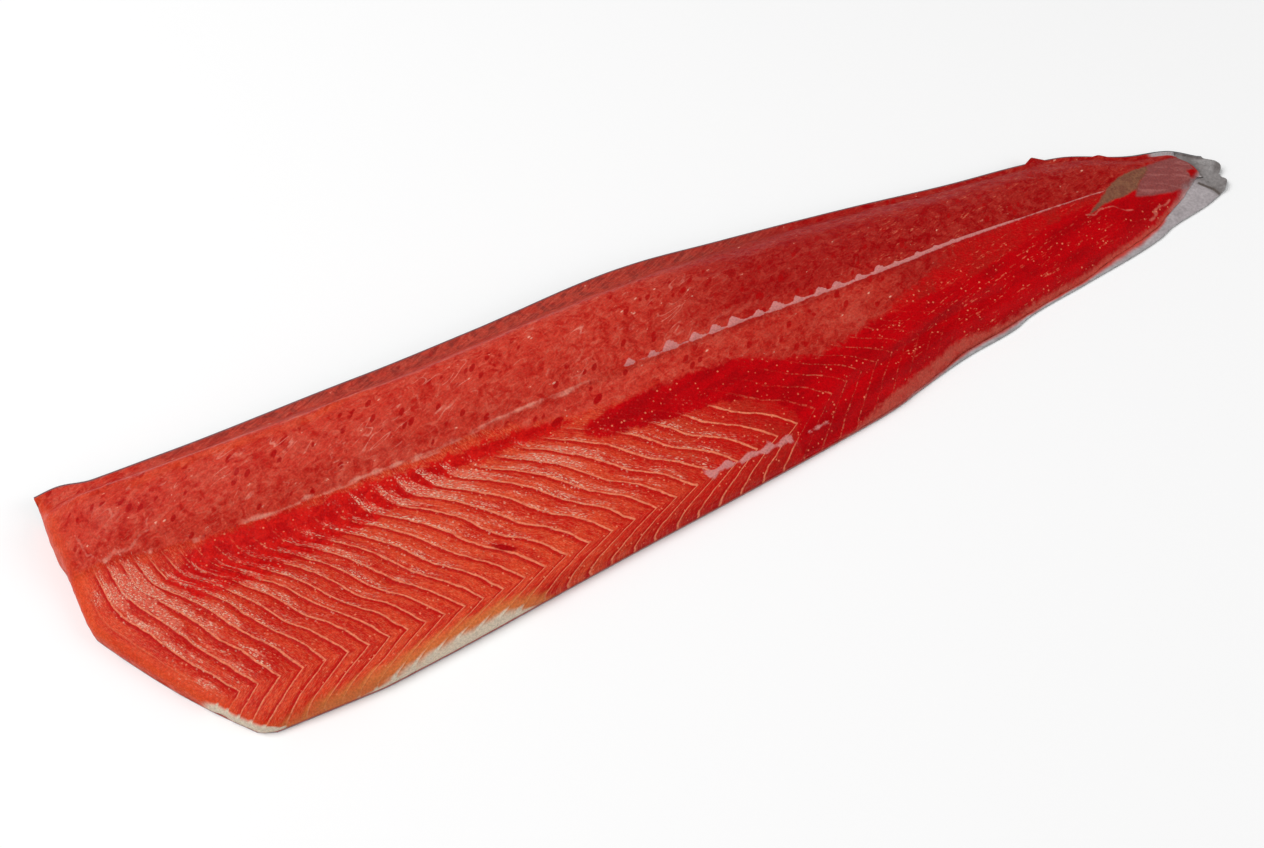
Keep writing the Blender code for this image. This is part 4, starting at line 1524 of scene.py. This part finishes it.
    def glint_area(self, x: Array, y: Array, spine: Array, from_cut: Array, deep: Array) -> Array:
        """Where painted glints go on the bands, above 1 where a painted sheen covers them all over.

        Args:
            x: Places along the side.
            y: Places across it.
            spine: Distance to the back from the backbone's line.
            from_cut: Distance along the side to the head cut.
            deep: Share of the deep red muscle.

        Returns:
            Shares from 0 up.
        """
        head = 0.76 * span(x, -165, -205) * span(spine, -3, -11) * span(y, -52, -44) * span(from_cut, 4, 12)
        middle_part = 0.64 * span(y, 4, -6) * span(y, -42, -32) * (1 - 0.75 * deep)
        grain = np.maximum(head, middle_part * span(x, 20, -20) * span(x, -205, -165))
        for middle, reach, turn, share in self.sheens:
            grain = np.maximum(grain, share * mound(x, y, middle, reach, turn))
        return grain

    def orange_area(self, x: Array, y: Array, spine: Array, from_cut: Array) -> Array:
        """Orange glow along the head cut, the loin's lip and the backbone.

        Args:
            x: Places along the side.
            y: Places across it.
            spine: Distance to the back from the backbone's line.
            from_cut: Distance along the side to the head cut.

        Returns:
            Shares from 0 to 1.
        """
        cut = (0.7 + 0.3 * Grain(6.0, 38).at(x, y)) * np.clip(1.2 - from_cut / 9.0, 0, 1)
        lip = (0.42 + 0.2 * Grain(12.0, 37).at(x, y)) * bell(self.lip_gap(x, y) + 3.5, 3.5)
        glow = (0.22 + 0.3 * Grain(9.0, 34).at(x, y)) * bell(spine + 2.0, 2.6) * span(x, -90, -130)
        return np.maximum(np.maximum(cut, lip * span(x, -70, -130)), glow)

    def midline_area(self, x: Array, y: Array, spine: Array) -> Array:
        """Pale line and beads along the backbone.

        Args:
            x: Places along the side.
            y: Places across it.
            spine: Distance to the back from the backbone's line.

        Returns:
            Shares from 0 to 1.
        """
        wander = spine + 0.9 * Grain(7.0, 31).along(x)
        blob = Grain(3.0, 32, 1.3).at(x, y)
        beads = bell(wander - 0.2, 0.75 + 0.3 * blob) * span(blob, 0.15, 0.65) * span(x, -45, -65)
        line = bell(wander, 0.8) * (0.62 + 0.35 * blob) * span(x, -30, -50) * span(x, -190, -170)
        return np.maximum(line, 0.8 * beads)

    def rim_area(self, x: Array, y: Array, q: Array) -> Array:
        """Darker strip along the back edge, beyond the lip of the loin: partly the flesh's own tone there
        and partly painted shade where it slopes away.

        Args:
            x: Places along the side.
            y: Places across it.
            q: The same as shares.

        Returns:
            Shares from 0 to 1.
        """
        rim = border(q - self.rim_start.at(x) + 0.06 * Grain(16.0, 39).along(x), 0.25)
        beyond_lip = 0.62 * span(self.lip_gap(x, y), 0, 2.5) * span(x, -232, -192) * span(x, -60, -110)
        return np.maximum(rim * span(x, 90, 30) * span(x, -228, -188), beyond_lip)

    def fat_areas(self, x: Array, y: Array, belly_gap: Array, from_cut: Array) -> tuple[Array, Array]:
        """Strip of fat along the belly edge and the corner of the head, and its orange border.

        Args:
            x: Places along the side.
            y: Places across it.
            belly_gap: Distance to the belly edge.
            from_cut: Distance along the side to the head cut.

        Returns:
            Shares of the fat and of its border.
        """
        fat = border(self.fat_width.at(x) - belly_gap, 3.5)
        corner = border(1.4 - from_cut, 3.0) * span(y, -42, -52)
        return np.maximum(fat, corner), border(self.fade_width.at(x) - belly_gap, 5.0)

    def build(self, shift: Vector) -> Object:
        """Models the meat and dresses it.

        Args:
            shift: From the form's frame to the frame of the whole model.

        Returns:
            The piece.
        """
        c, q = self.grid()
        high = self.surface(c, q)
        low = self.underside(high)
        bm = sheet(q.shape[0] - 1, q.shape[1] - 1)
        place(bm, low, high)
        join_level_faces(bm, self.under)
        carry(bm, self.areas(c, q, high, high[:, :, 2] - low[:, :, 2]), self.areas(c, q, high, 0.0))
        self.round_walls(bm)
        bmesh.ops.translate(bm, vec=shift, verts=bm.verts[:])
        piece = finish(bm, "meat", MeatFinish().build())
        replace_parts(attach(piece, "root"), "flesh")
        return piece

    def round_walls(self, bm: bmesh.types.BMesh) -> None:
        """Gives the cut edges a slightly swollen, uneven face.

        Args:
            bm: The meat's mesh.
        """
        upper = bm.verts.layers.int["upper"]
        walls = [e for e in bm.edges if e.verts[0][upper] != e.verts[1][upper]]
        cut = bmesh.ops.subdivide_edges(bm, edges=walls, cuts=self.wall_cuts, use_grid_fill=True)
        bm.normal_update()
        for v in cut["geom_inner"]:
            if isinstance(v, bmesh.types.BMVert):
                swell = self.wall_grain.at(np.array(v.co.x / MM), np.array((v.co.y + v.co.z) / MM))
                v.co += v.normal * float(self.wall_bump * swell) * MM


@dataclass
class Skin:
    """The skin: flat below the meat, rounded up at the back edge and bare at the tail stub."""

    steps_per_segment: int = 4
    stub_segments: int = 3
    stub_steps: int = 30
    stub_crowding: float = 1.4
    flat_rows: int = 44
    arc_rows: int = 12
    shore_width: Curve = Curve(((90, 1.6), (165, 1.8), (190, 3.6), (203, 3.4), (215, 2.2)))
    fold: Path = ((243.5, 13.2), (247.3, 7.6), (248, 4.2))
    dark_marks: tuple[Point, Point] = ((236, 31), (6, 3))

    def lines(self) -> Array:
        """Segment lines of the skin's columns, closer together in the stub.

        Returns:
            The lines, in order.
        """
        stub_start = FORM.segments - self.stub_segments
        plain = np.arange(stub_start * self.steps_per_segment) / self.steps_per_segment
        steps = np.arange(self.stub_steps + 1) / self.stub_steps
        stub = FORM.segments - self.stub_segments * (1 - steps) ** self.stub_crowding
        return np.concatenate([plain, stub])

    def points(self, inset: float) -> Array:
        """Points of one face.

        Args:
            inset: Depth below the outer face.

        Returns:
            Points by column and row.
        """
        lines = self.lines()
        shares = np.linspace(0, 1, self.flat_rows + 1)
        turns = np.arange(1, self.arc_rows + 1) / self.arc_rows
        made = np.zeros((len(lines), len(shares) + len(turns), 3))
        for row in range(made.shape[1]):
            turn = 0.0 if row < len(shares) else turns[row - len(shares)]
            share = shares[min(row, len(shares) - 1)]
            x = FORM.segment_x.at(lines)
            for _ in range(6):
                outer = FORM.arc(x, turn, 0.0)[0]
                middle = FORM.backbone.at(x)
                flat_q = (outer - middle) / (FORM.back_edge.at(x) - middle)
                q = -1 + (1 + flat_q) * share
                x, y = FORM.plan(lines, q, FORM.skin_end(q), False)
            z = np.full(len(lines), float(inset))
            if row >= len(shares):
                y, z = FORM.arc(x, turn, inset)
            made[:, row] = np.stack([x, y, z + FORM.stub_lift(x, y)], -1)
        return made

    def shift(self) -> Vector:
        """Step from the form's frame to the frame of the whole model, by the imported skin's box.

        Returns:
            The step, in metres.
        """
        low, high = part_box("skin")
        own = self.points(0.0)
        middle = (own.min((0, 1)) + own.max((0, 1))) / 2 * MM
        return Vector(((low.x + high.x) / 2 - middle[0], (low.y + high.y) / 2 - middle[1], 0.0))

    def areas(self, made: Array) -> dict[str, Array]:
        """Painted areas of the skin.

        Args:
            made: Points of the outer face.

        Returns:
            Numbers by column and row.
        """
        x, y = made[:, :, 0], made[:, :, 1]
        belly = FORM.belly_edge.at(x)
        back = np.clip((y - belly) / (FORM.back_edge.at(x) - belly), 0, 1)
        # Darker in a patch near the back of the stub and along the line of its fold.
        dark_marks = 0.9 * np.maximum(mound(x, y, *self.dark_marks), bell(distance_to(x, y, self.fold), 1.0))
        stub = np.maximum(span(x + 0.3 * (y - 10), 243, 248), span(y, 26, 30) * span(x, 200, 220))
        gap = belly + FORM.bare_strip.at(x) - y
        shore = np.clip(1 - gap / self.shore_width.at(x), 0, 1) * span(x, 224, 216)
        return {"back": back, "dark_marks": dark_marks, "stub": stub, "shore": shore}

    def build(self, shift: Vector) -> Object:
        """Models the skin and dresses it.

        Args:
            shift: From the form's frame to the frame of the whole model.

        Returns:
            The piece.
        """
        low, high = self.points(0.0), self.points(FORM.skin_thick)
        bm = sheet(low.shape[0] - 1, low.shape[1] - 1)
        place(bm, low, high)
        carry(bm, self.areas(low), self.areas(low))
        inner, upper = bm.verts.layers.float.new("inner"), bm.verts.layers.int["upper"]
        for v in bm.verts:
            v[inner] = float(v[upper])
        bmesh.ops.translate(bm, vec=shift, verts=bm.verts[:])
        piece = finish(bm, "skin_sheet", SkinFinish().build())
        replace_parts(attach(piece, "root"), "skin")
        return piece


@dataclass(frozen=True)
class Lamp:
    """A square soft light that faces the side: where it hangs, its power in watts and its side."""

    name: str
    way: tuple[float, float, float]
    distance: float
    power: float
    size: float

    def hang(self) -> None:
        """Makes the light."""
        data = bpy.data.lights.new(self.name, "AREA")
        data.energy, data.size = self.power, self.size
        light = bpy.data.objects.new(self.name, data)
        way = Vector(self.way)
        light.location = way.normalized() * self.distance
        light.rotation_mode = "QUATERNION"
        light.rotation_quaternion = (-way).to_track_quat("-Z", "Y")
        bpy.context.scene.collection.objects.link(light)


@dataclass
class Studio:
    """Pale table, soft light and the camera."""

    elevation: float = 55.0
    azimuth: float = -24.71
    distance: float = 0.6843
    lens: float = 50.0
    sensor: float = 36.0
    aim: Point = (-30.688, 0.887)
    lamps: tuple[Lamp, ...] = (
        Lamp("key", (-0.5, 0.2, 0.84), 2.1, 34.0, 1.4), Lamp("fill", (0.7, -0.5, 0.6), 1.5, 6.0, 1.0))
    world: float = 0.29
    table_size: float = 3.0

    def camera(self, shift: Vector) -> None:
        """Makes the camera.

        Args:
            shift: From the form's frame to the frame of the whole model.
        """
        a, e = math.radians(self.azimuth), math.radians(self.elevation)
        back = Vector((math.sin(a) * math.cos(e), -math.cos(a) * math.cos(e), math.sin(e)))
        data = bpy.data.cameras.new("camera")
        data.lens, data.sensor_width = self.lens, self.sensor
        camera = bpy.data.objects.new("camera", data)
        camera.rotation_mode = "QUATERNION"
        camera.location = Vector((self.aim[0] * MM, self.aim[1] * MM, 0)) + shift + back * self.distance
        camera.rotation_quaternion = (-back).to_track_quat("-Z", "Y")
        bpy.context.scene.collection.objects.link(camera)
        bpy.context.scene.camera = camera

    def table(self) -> None:
        """Makes the pale table, well beyond the picture."""
        bm = bmesh.new()
        bmesh.ops.create_grid(bm, x_segments=2, y_segments=2, size=self.table_size)
        top = finish(bm, "table", TableFinish().build())

    def build(self, shift: Vector) -> None:
        """Sets up the table, the lights, the surroundings and the camera.

        Args:
            shift: From the form's frame to the frame of the whole model.
        """
        self.table()
        for lamp in self.lamps:
            lamp.hang()
        world = bpy.data.worlds.new("studio")
        world.use_nodes = True
        sky = world.node_tree.nodes["Background"]
        sky.inputs["Color"].default_value = (1, 1, 1, 1)
        sky.inputs["Strength"].default_value = self.world
        bpy.context.scene.world = world
        bpy.context.scene.view_settings.view_transform = "Standard"
        self.camera(shift)


def main() -> None:
    """Builds the side and its studio, and reports each piece."""
    logging.basicConfig(level=logging.INFO, format="%(message)s")
    skin = Skin()
    shift = skin.shift()
    LOG.info("shift to the frame: %.2f %.2f mm", shift.x / MM, shift.y / MM)
    for builder in (Meat(), skin):
        piece = builder.build(shift)
        piece.data.calc_loop_triangles()
        LOG.info("%s: %d triangles", piece.name, len(piece.data.loop_triangles))
    Studio().build(shift)
    LOG.info("studio ready")


if __name__ == "__main__":
    main()
    bpy.context.view_layer.update()
